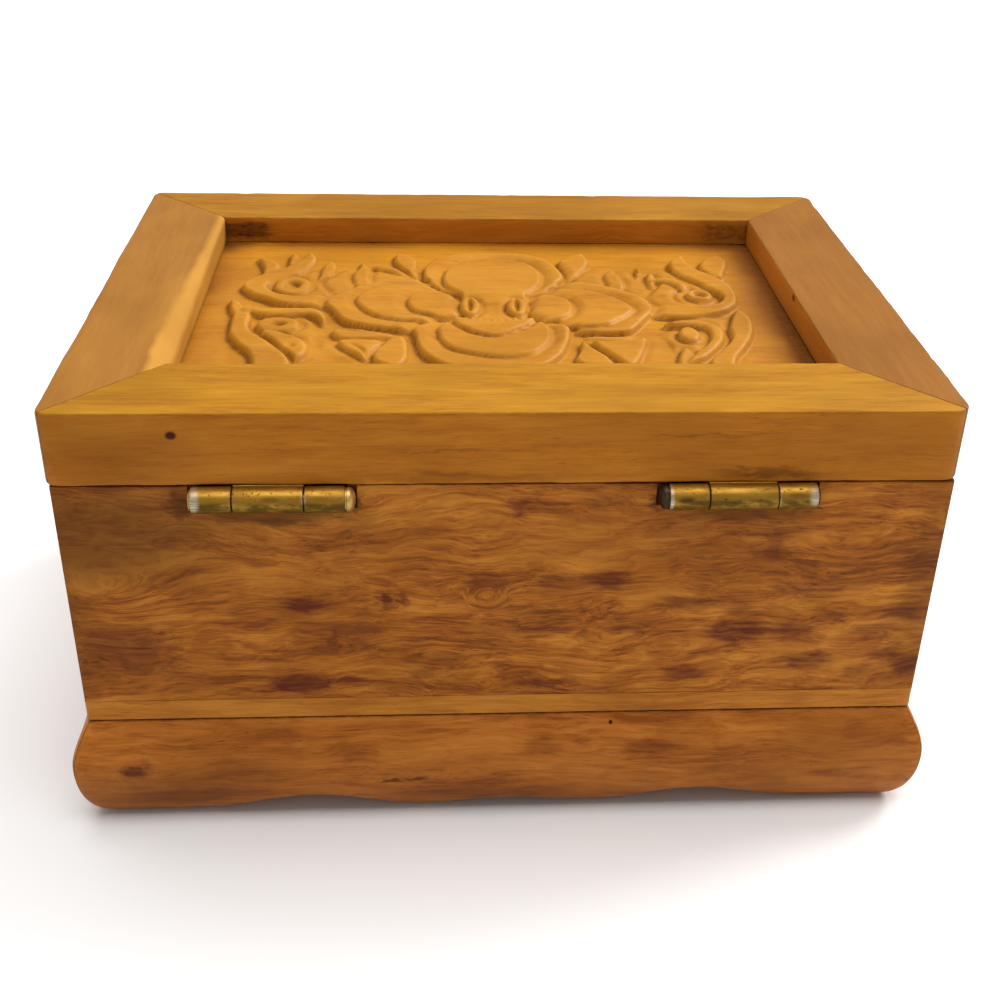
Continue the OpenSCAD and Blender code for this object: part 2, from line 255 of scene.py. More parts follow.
def section(corners, side_steps):
    """A closed ring of points (o, z) round a cross-section with eased corners.

    A corner is (o, z, ease before it, ease after it, fullness, darkening): fullness 1 is round, 0 a flat
    chamfer.
    Returns the points and how darkened each is."""
    places = [np.array(corner[:2], float) for corner in corners]
    points, soil = [], []
    for i, (_, _, before, after, fullness, darkening) in enumerate(corners):
        following = (i + 1) % len(corners)
        back, ahead = places[i - 1] - places[i], places[following] - places[i]
        start = places[i] + back / np.linalg.norm(back) * before
        end = places[i] + ahead / np.linalg.norm(ahead) * after
        pull = (start + end) / 2 * (1 - fullness) + places[i] * fullness
        for k in range(ARC_STEPS + 1):
            t = k / ARC_STEPS
            points.append((1 - t) ** 2 * start + 2 * t * (1 - t) * pull + t**2 * end)
            soil.append(darkening * (1 - abs(2 * t - 1)) ** 0.5)
        far = places[following] - ahead / np.linalg.norm(ahead) * corners[following][2]
        for k in range(1, side_steps[i]):
            points.append(end + (far - end) * k / side_steps[i])
            soil.append(0.0)
    return np.array(points), np.array(soil)


def inset(points, amount):
    """Moves a counterclockwise ring of points inward."""
    ahead, behind = np.roll(points, -1, 0), np.roll(points, 1, 0)
    run = ahead - behind
    run /= np.maximum(np.linalg.norm(run, axis=1, keepdims=True), 1e-9)
    return points - np.stack([run[:, 1], -run[:, 0]], 1) * np.asarray(amount).reshape(-1, 1)


def turned(s, o, distance, turns):
    """Places (s, o) of a side in the frame's plan."""
    out = distance + o
    return [(s, out), (-out, s), (-s, -out), (out, -s)][turns]


def rounded_plan(x, y, half_x, half_y, r):
    """Rounds the corners of a rectangle in plan, for points in and round it."""
    dx, dy = np.abs(x) - (half_x - r), np.abs(y) - (half_y - r)
    inside = (dx > 0) & (dy > 0)
    reach = np.maximum(dx, dy)
    scale = np.where(inside, reach / np.maximum(np.hypot(dx, dy), 1e-9), 1.0)
    new_x = np.sign(x) * (half_x - r + dx * scale)
    new_y = np.sign(y) * (half_y - r + dy * scale)
    return np.where(inside, new_x, x), np.where(inside, new_y, y)


def side_run(side, half_x, half_y):
    """A side's quarter turns, half its length, and how far its outer face is from the middle."""
    turns = TURNS[side]
    return (turns, half_y, half_x) if turns % 2 else (turns, half_x, half_y)


def station_list(half, step):
    """Places along a side, close together at its mitres."""
    inner = half - GROOVE_REACH
    count = max(2, int(round(2 * inner / step)))
    places = [-half, *np.linspace(-inner, inner, count + 1), half]
    return np.array(sorted(set(round(p, 4) for p in places)))


def sweep(name, run, step, ring_at, slopes, corner, sharp_deg=SHARP_DEG):
    """A side swept along its length. ring_at(s) gives its ring of points and how darkened each is there.

    run is what side_run gives, and slopes are how fast the two mitres run out with o. corner is
    (half_x, half_y, r) of the plan's rounding, or a function of z that gives it, and r may be a function
    of x and y. Darkening below zero makes the wood lighter: rubbed wear, and in part painted light."""
    turns, half, distance = run
    straight = STRAIGHT * half
    vertices, soils = [], []
    for s in station_list(half, step):
        ring, soil = ring_at(s)
        if half - abs(s) < 0.5 * GROOVE_REACH:
            ring = inset(ring, GROOVE)
            soil = np.maximum(soil, GROOVE_SOIL)
        o, z = ring.T
        slope = slopes[1] if s > 0 else slopes[0]
        beyond = max(abs(s) - straight, 0.0)
        along = min(abs(s), straight) + beyond * (half + slope * o - straight) / (half - straight)
        x, y = turned(math.copysign(1, s) * along, o, distance, turns)
        half_x, half_y, r = corner(z) if callable(corner) else corner
        r = r(x, y) if callable(r) else r
        x, y = rounded_plan(x, y, half_x, half_y, r)
        vertices.append(np.stack([x, y, z], 1))
        soils.append(soil)
    faces = ring_faces(len(vertices), len(vertices[0]))
    return mesh_object(name, np.vstack(vertices), faces, sharp_deg, soil=np.concatenate(soils))


def planing(o, z, s, half, seed, amount, pitch=26):
    """How deep a hand plane's slight waves are at places of a section; they fade towards the mitres."""
    fade = smoothstep((half - abs(s)) / MITRE_FADE)
    at = np.column_stack([np.full(len(z), s), o * 2, z * 2])
    return amount * (0.55 + 0.45 * np.clip(ripple(at, pitch, seed), -1, 1)) * fade


def worn(base, s, seed, spread=0.5, nick=0.0):
    """An edge's easing that varies along it, with a few nicks."""
    at = np.array([[s, 0.0, 0.0]])
    slow, quick, nicks = (ripple(at, pitch, seed + k)[0] for k, pitch in enumerate(WEAR_PITCHES))
    dent = max(0.0, nicks - NICK_FLOOR) * nick
    return max(LEAST_EASE, base * (1 + spread * slow + 0.5 * spread * quick) + dent)


# Lid

RAIL_STEP, RAIL_SEED = 1.1, 40
RAIL_SIDE_STEPS = (7, 12, 4, 2, 3, 6)
# The chamfer of the right rail's inner edge, wide at the back and narrow at the front
CHAMFER_NEAR, CHAMFER_FAR, CHAMFER_SPAN = 3.0, 0.7, 80.0
CHAMFER_FULLNESS = 0.35


def recess_end_darkening(s):
    """How much darker the recess is along its far side: nearly black at one end, brown at the other."""
    return max(0.95 * smoothstep((-s - 45) / 12), 0.6 * smoothstep((s - 41) / 15))


def lid_corner_r(x, y):
    """The lid's corners are rounded alike but for one that is worn."""
    return np.where((x < 0) & (y > 0), WORN_CORNER_R, LID_CORNER_R)


def rail(side):
    """One rail of the lid's frame, with worn edges and the rebate for the panel below."""
    run = side_run(side, LID_HALF_X, LID_HALF_Y)
    turns, half, _ = run
    width = RAIL_W[side]
    slopes = [RAIL_W[met] / width for met in NEIGHBOURS[side]]
    seed = RAIL_SEED + SEED_STEP * turns

    def ring_at(s):
        top = worn(0.42, s, seed, nick=0.7)
        foot = worn(0.35, s, seed + 3, nick=0.5)
        inner = worn(0.4, s, seed + 5, spread=0.4, nick=0.3)
        inner_down, fullness = inner, ROUND
        if side == "right":
            at = math.copysign(min(abs(s), STRAIGHT * half), s)
            share = smoothstep(at / CHAMFER_SPAN + 0.5)
            chamfer = CHAMFER_NEAR + (CHAMFER_FAR - CHAMFER_NEAR) * share
            inner = chamfer * (1 + 0.22 * ripple(np.array([[at]]), 13, 5)[0])
            inner_down, fullness = 0.8 * inner, CHAMFER_FULLNESS
        corners = [
            (0, LID_Z, foot, foot, ROUND, 0.5),
            (0, LID_TOP_Z, top, top, ROUND, 0.3),
            (-width, LID_TOP_Z, inner, inner_down, fullness, 0.25),
            (-width, GROUND_Z, CRISP, CRISP, ROUND, 0.9),
            (-width + PANEL_LAP, GROUND_Z, CRISP, CRISP, ROUND, 0.0),
            (-width + PANEL_LAP, LID_Z, 2 * CRISP, 2 * CRISP, ROUND, 0.0),
        ]
        ring, soil = section(corners, RAIL_SIDE_STEPS)
        o, z = ring.T
        above_panel = z > GROUND_Z + 0.5
        if side == "front":
            # The recess's far inner face is made darker towards its ends
            inside = (o < 0.5 - width) & above_panel & (z < LID_TOP_Z - 0.6)
            soil = np.maximum(soil, inside * recess_end_darkening(s))
        elif side == "right":
            # The chamfer is made lighter: rubbed wear, with painted light on this face that slopes towards
            # the light
            from_edge = np.maximum(o + width - inner, 0)
            around = smoothstep((12 - at) / 20) * smoothstep((at + 34) / 16)
            rubbed = np.maximum(0.8 * (from_edge < 0.05), 0.4 * around * smoothstep(1 - from_edge / 6))
            soil = np.where(above_panel, -rubbed, soil)
        return inset(ring, planing(o, z, s, half, seed + 6, 0.10)), soil

    name = f"lid_{side}_rail"
    corner = (LID_HALF_X, LID_HALF_Y, lid_corner_r)
    return sweep(f"{name}_wood", run, RAIL_STEP, ring_at, slopes, corner), name


# Walls

WALL_STEP, WALL_SEED = 1.6, 90
WALL_SIDE_STEPS = (22, 3, 12, 3)
NOTCH_ROOM = 0.2
# How far a cutting shape reaches past what it cuts
CUT_PAST = 2.0


def notch(piece, hinge_name):
    """Cuts the room for a hinge's leaf and barrel out of the back wall."""
    pin_low, pin_high = box_mm(f"{hinge_name}_pin")
    leaf_low, leaf_high = box_mm(f"{hinge_name}_box_leaf")
    low = (leaf_low.x - NOTCH_ROOM, WALL_HALF_Y - WALL_T - CUT_PAST, leaf_low.z)
    high = (leaf_high.x + NOTCH_ROOM, WALL_HALF_Y + CUT_PAST, WALL_HIGH.z + CUT_PAST)
    combine(piece, block("notch", low, high))
    hollow = cylinder("hollow", pin_low.x - NOTCH_ROOM, pin_high.x + NOTCH_ROOM, BARREL_R + NOTCH_ROOM)
    hollow.data.transform(Matrix.Translation(Vector((0, AXIS.y, AXIS.z)) * MM))
    combine(piece, hollow)


def wall(side):
    """One of the four plain walls, mitred at the corners. The back one is notched for the hinges."""
    run = side_run(side, WALL_HALF_X, WALL_HALF_Y)
    turns, half, _ = run
    seed = WALL_SEED + SEED_STEP * turns

    def ring_at(s):
        top = worn(0.3, s, seed, nick=0.4)
        corners = [
            (0, WALL_LOW.z, CRISP, CRISP, ROUND, 0.15),
            (0, WALL_HIGH.z, top, top, ROUND, 0.9),
            (-WALL_T, WALL_HIGH.z, 0.5, 0.5, ROUND, 0.2),
            (-WALL_T, WALL_LOW.z, CRISP, CRISP, ROUND, 0.4),
        ]
        ring, soil = section(corners, WALL_SIDE_STEPS)
        return inset(ring, planing(*ring.T, s, half, seed + 4, 0.12)), soil

    name = f"{side}_wall"
    corner = (WALL_HALF_X, WALL_HALF_Y, WALL_CORNER_R)
    piece = sweep(f"{name}_wood", run, WALL_STEP, ring_at, (1, 1), corner)
    if side == "back":
        for hinge_name in ("left_hinge", "right_hinge"):
            notch(piece, hinge_name)
        smooth_outward(piece.data)
    return piece, name


BOARD_EASE, BOARD_TIGHT, BOARD_HOLLOW = 0.3, 0.1, 0.04
BOARD_STEP = 2.0


def bottom_board():
    """The bottom board: rings round its edge, each at a height, with its inset and soil."""
    (half_x, half_y, high), low = BOARD_HIGH, BOARD_LOW.z
    ease, r = BOARD_EASE, WALL_CORNER_R
    angles = np.linspace(0, math.pi / 2, ARC_STEPS + 1)
    quarter = [(x, half_y) for x in np.arange(0, half_x - r, BOARD_STEP)]
    quarter += [(half_x - r + r * math.sin(a), half_y - r + r * math.cos(a)) for a in angles]
    quarter += [(half_x, y) for y in np.arange(half_y - r, 0, -BOARD_STEP)[1:]]
    half = quarter + [(half_x, 0.0)] + [(x, -y) for x, y in reversed(quarter)]
    outline = np.array(half + [(-x, y) for x, y in reversed(half[1:-1])])
    layers = [
        (low, ease, 0.9), (low + 0.1 * ease, 0.4 * ease, 0.9), (low + 0.4 * ease, 0.1 * ease, 0.5),
        (low + ease, 0.0, 0.0), ((low + high) / 2, BOARD_HOLLOW, 0.0), (high - BOARD_TIGHT, 0.0, 0.0),
        (high, BOARD_TIGHT, 0.15),
    ]
    rings, soil = [], []
    for z, inward, darkening in layers:
        ring = inset(outline[::-1], inward)[::-1]
        rings.append(np.column_stack([ring, np.full(len(ring), z)]))
        soil += [darkening] * len(ring)
    faces = ring_faces(len(rings), len(outline))
    return mesh_object("bottom_board_wood", np.vstack(rings), faces, soil=soil)


# Skirt

SKIRT_STEP, SKIRT_SEED = 1.0, 130
SKIRT_SHARP_DEG = 50.0
# Shares of the skirt's height at which its section has points, close together at the foot and the top
FOOT_SHARES = [0, 0.004, 0.012, 0.024, 0.04, 0.06, 0.085]
TOP_SHARES = [0.975, 0.985, 0.992, 0.997, 1]
SKIRT_SHARES = np.concatenate([FOOT_SHARES, np.linspace(0.115, 0.96, 26), TOP_SHARES])
INNER_POINTS = 5


def fall(gap, r):
    """How far a quarter circle falls back at a distance from its end, as a share of its radius."""
    return 1 - np.sqrt(np.maximum(0.0, 1 - (1 - np.minimum(gap, r) / r) ** 2))


def skirt_out(z):
    """How far the skirt stands out from the walls at height z."""
    lower = SKIRT_BULGE - SKIRT_UNDERCUT * fall(z, SKIRT_WIDEST_Z)
    share = np.clip((z - SKIRT_WIDEST_Z) / (SKIRT_H - SKIRT_WIDEST_Z), 0, 1)
    upper = -SKIRT_INSET + (SKIRT_BULGE + SKIRT_INSET) * np.cos(share * math.pi / 2)
    return np.where(z < SKIRT_WIDEST_Z, lower, upper)


def skirt_corner(z):
    """The size of the skirt's plan at height z, and its corners' radius."""
    out = skirt_out(z)
    return WALL_HALF_X + out, WALL_HALF_Y + out, SKIRT_CORNER_R


def arch(offset, width, rise):
    """A scallop's height at a distance from its middle: softer than an arc, fuller than a bell."""
    u = np.clip(abs(offset) / (width / 2), 0, 1)
    return rise * np.cos(u * math.pi / 2) ** 1.3


def skirt(side):
    """One side of the moulded skirt, whose lower edge is cut in scallops between its feet."""
    run = side_run(side, WALL_HALF_X, WALL_HALF_Y)
    turns, half, _ = run
    low_w = MIDDLE_ARCH_W[side]
    high_w = half - FOOT_LEN - low_w / 2
    high_mid = (low_w + high_w) / 2
    seed = SKIRT_SEED + SEED_STEP * turns

    def lower_edge(s):
        high_arch = arch(abs(s) - high_mid, high_w + ARCH_LAP, ARCH_RISE)
        edge = max(high_arch, arch(s, low_w + ARCH_LAP, MIDDLE_RISE))
        between = smoothstep((high_mid - abs(s)) / 3)
        return edge + DROP_GAP * between * (1 - min(1.0, edge / DROP_GAP / 3))

    def ring_at(s):
        low = lower_edge(s)
        foot_r = worn(0.9, s, seed, spread=0.25)
        top_r = worn(0.35, s, seed + 2, nick=0.3)
        z = low + (SKIRT_H - low) * SKIRT_SHARES
        out = skirt_out(z) - foot_r * fall(z - low, foot_r)
        out = out - top_r * fall(SKIRT_H - z, top_r)
        out = out - planing(out, z, s, half, seed + 4, 0.14, 24)
        inner = np.stack([np.full(INNER_POINTS, -SKIRT_T), np.linspace(SKIRT_H, low, INNER_POINTS)], 1)
        soil = np.concatenate([smoothstep((z - SKIRT_H + 0.6) / 0.5), np.zeros(INNER_POINTS)])
        return np.vstack([np.stack([out, z], 1), inner]), soil

    name = f"{side}_skirt"
    piece = sweep(f"{name}_wood", run, SKIRT_STEP, ring_at, (1, 1), skirt_corner, SKIRT_SHARP_DEG)
    return piece, name


# Carved panel
#
# A height map over the lid's opening. Places are (x, y) in millimetres from the lid's middle, in the frame's
# axes, and a third number is the half width there. Forms are laid one over another like carved layers.

CELL = 0.36
CARVED_H = 1.5
OVAL_POINTS = 32
THINNEST = 0.12


def oval(x, y, rx, ry):
    """Points round an oval."""
    a = np.linspace(0, 2 * math.pi, OVAL_POINTS + 1)[:-1]
    return np.column_stack([x + rx * np.cos(a), y + ry * np.sin(a)])


def near_segment(gx, gy, start, end):
    """How far along a segment its nearest place is, 0 to 1, and how far away."""
    (x0, y0), (x1, y1) = start, end
    dx, dy = x1 - x0, y1 - y0
    t = np.clip(((gx - x0) * dx + (gy - y0) * dy) / max(dx * dx + dy * dy, 1e-9), 0, 1)
    return t, np.hypot(gx - x0 - t * dx, gy - y0 - t * dy)


def near_line(line, gx, gy):
    """Distance to a line of varying half width: negative inside it."""
    best = np.full(gx.shape, 1e9)
    for start, end in zip(line[:-1], line[1:]):
        t, gap = near_segment(gx, gy, start[:2], end[:2])
        best = np.minimum(best, gap - (start[2] + t * (end[2] - start[2])))
    return best


def near_outline(outline, gx, gy):
    """Distance to a closed outline: negative inside it."""
    best = np.full(gx.shape, 1e9)
    inside = np.zeros(gx.shape, bool)
    for (x0, y0), (x1, y1) in zip(outline, np.roll(outline, -1, 0)):
        best = np.minimum(best, near_segment(gx, gy, (x0, y0), (x1, y1))[1])
        dx, dy = x1 - x0, y1 - y0
        crosses = (y0 > gy) != (y1 > gy)
        inside ^= crosses & (gx < dx * (gy - y0) / (dy if dy else 1e-9) + x0)
    return np.where(inside, -best, best)


class Relief:
    """Heights above the panel's ground on a grid of points."""

    def __init__(self, xs, ys):
        self.xs, self.ys = xs, ys
        self.h = np.zeros((len(xs), len(ys)))

    def window(self, points, margin):
        """The part of the grid near some points."""
        low, high = points[:, :2].min(0) - margin, points[:, :2].max(0) + margin
        i = slice(*np.searchsorted(self.xs, [low[0], high[0]]))
        j = slice(*np.searchsorted(self.ys, [low[1], high[1]]))
        gx, gy = np.meshgrid(self.xs[i], self.ys[j], indexing="ij")
        return (i, j), gx, gy

    def lay(self, points, near, height, ease, dip, reach):
        """Lays a form over what is there, which slopes down towards the new form's foot."""
        part, gx, gy = self.window(points, 6)
        gap, old = near(points, gx, gy), self.h[part]
        foot = np.maximum(old - dip * (1 - smoothstep(np.abs(gap) / reach)), np.minimum(old, 0.0))
        form = foot + (height - foot) * smoothstep(-gap / ease)
        self.h[part] = np.where(gap > 0, foot, form)

    def band(self, points, height=CARVED_H):
        """A raised line of varying half width."""
        line = spline(points)
        line[:, 2] = np.maximum(line[:, 2], THINNEST)
        self.lay(line, near_line, height, 1.1, 0.5, 1.6)

    def patch(self, points, height=CARVED_H, ease=1.0, dip=0.5, reach=1.6):
        """A raised form inside an outline."""
        self.lay(spline(points, 7, closed=True), near_outline, height, ease, dip, reach)

    def lay_oval(self, x, y, rx, ry, height=CARVED_H, ease=1.2):
        """A raised oval with eased edges."""
        self.lay(oval(x, y, rx, ry), near_outline, height, ease, 0.6, 1.5)

    def ring(self, x, y, rx, ry, half, height=CARVED_H, well=0.3):
        """A raised oval ring round a sunk middle, whose floor is at the height well."""
        self.lay_oval(x, y, rx + half, ry + half, height)
        part, gx, gy = self.window(oval(x, y, rx, ry), 1)
        inward = 1 - np.hypot((gx - x) / rx, (gy - y) / ry)
        depth = smoothstep((inward * min(rx, ry) - half + 0.5) / 1.1)
        self.h[part] += (well - self.h[part]) * np.where(inward > 0, depth, 0)

    def cut(self, points, depth):
        """An incised line of varying half width."""
        line = spline(points)
        part, gx, gy = self.window(line, 3)
        self.h[part] -= depth * smoothstep(-near_line(line, gx, gy) / line[:, 2].max())

    def dent(self, x, y, rx, ry, amount):
        """A soft bump, or a hollow where the amount is negative."""
        part, gx, gy = self.window(np.array([[x - rx, y - ry], [x + rx, y + ry]]), 1)
        self.h[part] += amount * smoothstep(1 - np.hypot((gx - x) / rx, (gy - y) / ry))


# Stems, leaves and scrolls: the left list is on the picture's left, at +x
LEAVES_LEFT = [
    [(50.8, -28.6, 0.4), (47.9, -25, 2.0), (46.7, -21, 2.3), (47.4, -17, 1.9)],
    [(43.6, -31.4, 0.4), (42.3, -27.5, 1.8), (42.2, -23.5, 1.9), (43.6, -19.5, 1.6)],
    [(34.9, -27, 0.4), (34.6, -22.5, 1.9), (35.2, -18.5, 1.6), (36.4, -15.5, 0.7)],
    [(28.5, -26.4, 0.3), (27.3, -22, 1.6), (27.9, -17, 2.1), (27.2, -12, 1.8), (26.4, -8, 1.2)],
    [(26.8, -23.4, 0.3), (23.4, -22, 1.3), (20.4, -20, 1.3), (17.2, -17, 0.6)],
    [(20.8, -31.4, 0.4), (18.9, -27, 2.7), (17.5, -22, 2.1), (16.1, -16.5, 0.7)],
]
SCROLLS_LEFT = [
    # the upper stem, which turns into the plateau beside the petal
    [(39.7, -31.6, 0.5), (39.2, -27, 2.0), (40.6, -22.5, 2.5), (43.4, -18.6, 2.7), (46.8, -15.2, 2.9),
     (49.4, -11.5, 3.0), (48.4, -8.4, 2.7), (45.7, -5.5, 2.3), (42.6, -3.2, 2.4), (38, -2.6, 2.8),
     (33, -3, 3.0), (29, -4, 2.8)],
    # the lower stem, and the arc that curls over its scroll
    [(53.6, -4, 0.4), (51.8, 0.4, 1.8), (50.3, 4.5, 2.3), (50.1, 10.5, 2.3), (49.4, 14.5, 2.6),
     (47.4, 18, 3.0), (44.8, 21.5, 3.3), (43.1, 25.5, 3.7), (42.2, 30, 3.8), (42.4, 34, 2.4),
     (43, 37.4, 0.7)],
    [(49.6, 2.2, 1.4), (45.6, 3.4, 1.8), (41, 3.3, 1.9), (37, 3.5, 1.8), (34.9, 5.6, 1.5),
     (34.2, 8.6, 0.8)],
]
TEARDROP = [(44.8, 13.8, 1.4), (41.6, 16.6, 2.3), (39.1, 20, 2.9), (38, 23.6, 1.9), (38.2, 26.4, 0.5)]
FAN_LEFT = [
    [(31.2, 9.6, 0.5), (27.4, 11.4, 1.0), (23, 12.8, 1.0), (18.5, 13.6, 0.5)],
    [(32.2, 11.6, 0.5), (30.1, 14.2, 2.1), (25.5, 15.1, 1.5), (20, 15, 0.7)],
]
LEAVES_RIGHT = [
    [(-50.4, -31, 0.4), (-48.9, -26.5, 3.1), (-47.8, -22.5, 3.2), (-47.8, -18.5, 2.0)],
    [(-33.4, -20.6, 0.4), (-33.5, -16.5, 1.5), (-33, -12.5, 0.9)],
    [(-31.2, -24.4, 0.3), (-31.3, -21, 0.9), (-30.6, -17, 0.5)],
    [(-26, -22.6, 0.3), (-25, -17.5, 1.8), (-25.5, -13.5, 2.1), (-24.8, -9.5, 1.8)],
    [(-20.4, -31.6, 0.4), (-17.8, -26, 3.7), (-17, -21.5, 2.6), (-15.8, -16.5, 1.0), (-15, -14, 0.4)],
    [(-34.8, 20.6, 0.4), (-34.6, 24, 1.7), (-33.8, 28, 1.6), (-33.6, 31, 0.4)],
]
SCROLLS_RIGHT = [
    [(-42.4, -30.4, 0.5), (-40.7, -25.5, 2.4), (-41.3, -20.5, 3.0), (-43.2, -17.5, 3.1), (-45, -15, 3.1),
     (-47.2, -11, 2.9), (-48.2, -7, 2.1), (-48, -3.5, 2.0), (-46.2, 0, 2.2), (-42.5, 2.2, 2.6),
     (-37, 2.8, 3.1), (-31.5, 2.4, 3.0)],
    [(-48.4, 1.4, 0.5), (-48.4, 6.5, 2.3), (-47.4, 12, 2.8), (-46.4, 17, 2.2), (-44.4, 21, 2.2),
     (-42, 25, 2.5), (-40.6, 29, 2.8), (-40.6, 33, 2.0), (-41.2, 36.4, 0.6)],
    [(-32.8, 9.6, 0.9), (-37, 9.2, 1.5), (-40.6, 10.2, 1.7), (-42.2, 13.4, 1.7), (-41.6, 17.4, 1.6),
     (-39.8, 21.2, 1.6), (-37.2, 24.8, 1.7), (-34.8, 28, 0.8)],
]
CURL = [(-33.4, -14.8, 0.8), (-36.6, -15.2, 1.5), (-39, -12.6, 1.5), (-39.8, -9, 1.2)]
FAN_RIGHT = [(-15.2, 14.8, 0.5), (-19.6, 15.7, 1.3), (-24, 15.1, 1.2), (-27.2, 13.2, 0.6)]

# Broad leaves beside the near petal
PLATES = [
    [(31.2, 17.8), (30.3, 20.6), (28.3, 23.3), (25.2, 26.4), (24.3, 23.4), (23.1, 20.6), (21.1, 17.8),
     (24, 17.2), (28, 16.9)],
    [(21.4, 16.6), (22.9, 19.8), (24.4, 23.2), (24, 27.4), (20.4, 30), (17.6, 27.2), (17.2, 22), (17.5, 17),
     (19, 15.6)],
    [(-16.8, 18), (-18.5, 21.6), (-20.7, 25.4), (-22.8, 29.6), (-25, 28.4), (-26.5, 24.4), (-27.7, 20.4),
     (-28.2, 16.2), (-24.4, 17.6), (-20, 18)],
    [(-15, 17), (-16.5, 19), (-18.1, 22.5), (-20.1, 26), (-20.6, 30), (-15.6, 30.4), (-13, 27),
     (-14.3, 22)],
]

# Petals, each as nested outlines from its border to its heart
SIDE_PETALS = [
    [(9, -12), (14.6, -14.2), (20, -14.8), (26, -12.4), (30.6, -8.6), (33.8, -4), (34.6, -0.6), (33.1, 2.4),
     (31.9, 5.5), (30.2, 8.5), (25.5, 11), (21, 12), (16.6, 12.7), (12, 10.4), (8, 5)],
    [(8, -9.6), (13, -10.6), (18.2, -11.7), (24.2, -10), (27.9, -6.2), (28.6, -2.4), (27.7, 0.6),
     (26.1, 3.6), (23.5, 6.1), (20, 7.5), (16.4, 7.9), (12.6, 8.6), (8, 6)],
    [(7, -6.6), (12.6, -7.4), (16.6, -6.4), (18.3, -3.2), (18.1, 0), (16.8, 2.9), (14, 4.5), (11.6, 6.3),
     (7, 5)],
    [(-8, -11.6), (-14, -13.2), (-20, -12.6), (-25.2, -9.8), (-29.4, -5.6), (-31.6, -1), (-31.3, 3.4),
     (-29.2, 7.5), (-27.5, 10.7), (-25.4, 13.5), (-20.8, 14.4), (-16.4, 13.7), (-12, 12), (-7, 7)],
    [(-7, -8.6), (-13, -9.3), (-18.6, -8.5), (-23.5, -5.2), (-26.3, -1.6), (-27.6, 2), (-26.3, 4.7),
     (-24, 7.4), (-21, 10.2), (-15.4, 10.8), (-10.8, 9.6), (-7, 6)],
    [(-6, -4.8), (-11.6, -5.4), (-14.6, -3.2), (-15.6, 0.8), (-14.8, 4.4), (-12.2, 7), (-9, 7.8), (-6, 6)],
]
FAR_PETAL = [
    [(14.2, -14), (15.2, -18.6), (14.8, -22.4), (12.8, -26.6), (8.6, -29.6), (2, -31.2), (-5, -30.8),
     (-9.8, -28.6), (-13, -24.6), (-14.8, -19.4), (-14.4, -14), (-7, -6), (7, -6)],
    [(10.2, -10.4), (11, -13.6), (10.9, -17.2), (9.9, -21), (7.2, -24.6), (2.6, -26.6), (-2.6, -26.8),
     (-7.2, -24.8), (-9.5, -21), (-10.3, -17.4), (-10, -13.4), (-8.9, -10), (-6.6, -6.6), (-5.6, -2),
     (6.2, -2), (7.6, -6.4)],
]
NEAR_PETAL = [
    [(16.6, 11.4), (16.7, 15.5), (16.3, 19.5), (15.6, 22.6), (14, 26), (10.8, 29.8), (5, 32.4), (-2, 32.4),
     (-7.6, 29.8), (-11.2, 25), (-12.9, 19.5), (-13.8, 14.6), (-13.2, 10.6), (-5, 6), (8, 6)],
    [(11.8, 10.6), (12.2, 15), (11.4, 18.6), (9.6, 21.6), (6.2, 23.8), (2.4, 25.4), (-2.2, 25.6),
     (-5.2, 24.5), (-7.3, 22.5), (-9.5, 18.6), (-10.1, 14.6), (-9.5, 10.4), (-5, 6), (7, 6)],
]
BOSS = [(8.6, -2.8), (8.8, 1.2), (7.8, 4.8), (6, 7), (1.4, 8.8), (-3.6, 8.4), (-6.2, 5.8), (-6.9, 1),
        (-6.5, -3), (-4, -5), (1, -4), (6, -5)]
COLLAR = [(9.3, 6.6), (8.8, 9.8), (7, 12.3), (4.6, 14.6), (1.4, 16), (-0.8, 15.3), (-2.8, 13.6), (-4.6, 11.8),
          (-6.3, 9.8), (-7.3, 7.2), (-3, 8.2), (1, 8.8), (5.4, 7.8)]
BEAD_COUNT = 9
EYES_X = (5.5, -3.9)

# Notches in the collar's rim
NICKS = [(-1.9, 15.2), (-4.2, 13), (-6, 10.9), (3.2, 15.8), (6.4, 13.9)]

# Low swells under the groups of forms: x, y and the two half widths
SWELLS = [(38, -12, 13, 15), (42, 16, 10, 18), (23, -15, 13, 12), (-40, -11, 11, 15), (-40, 17, 10, 17),
          (-22, -15, 12, 11), (25, 18, 10, 11), (-22, 20, 10, 11)]
SWELL_H = 1.0


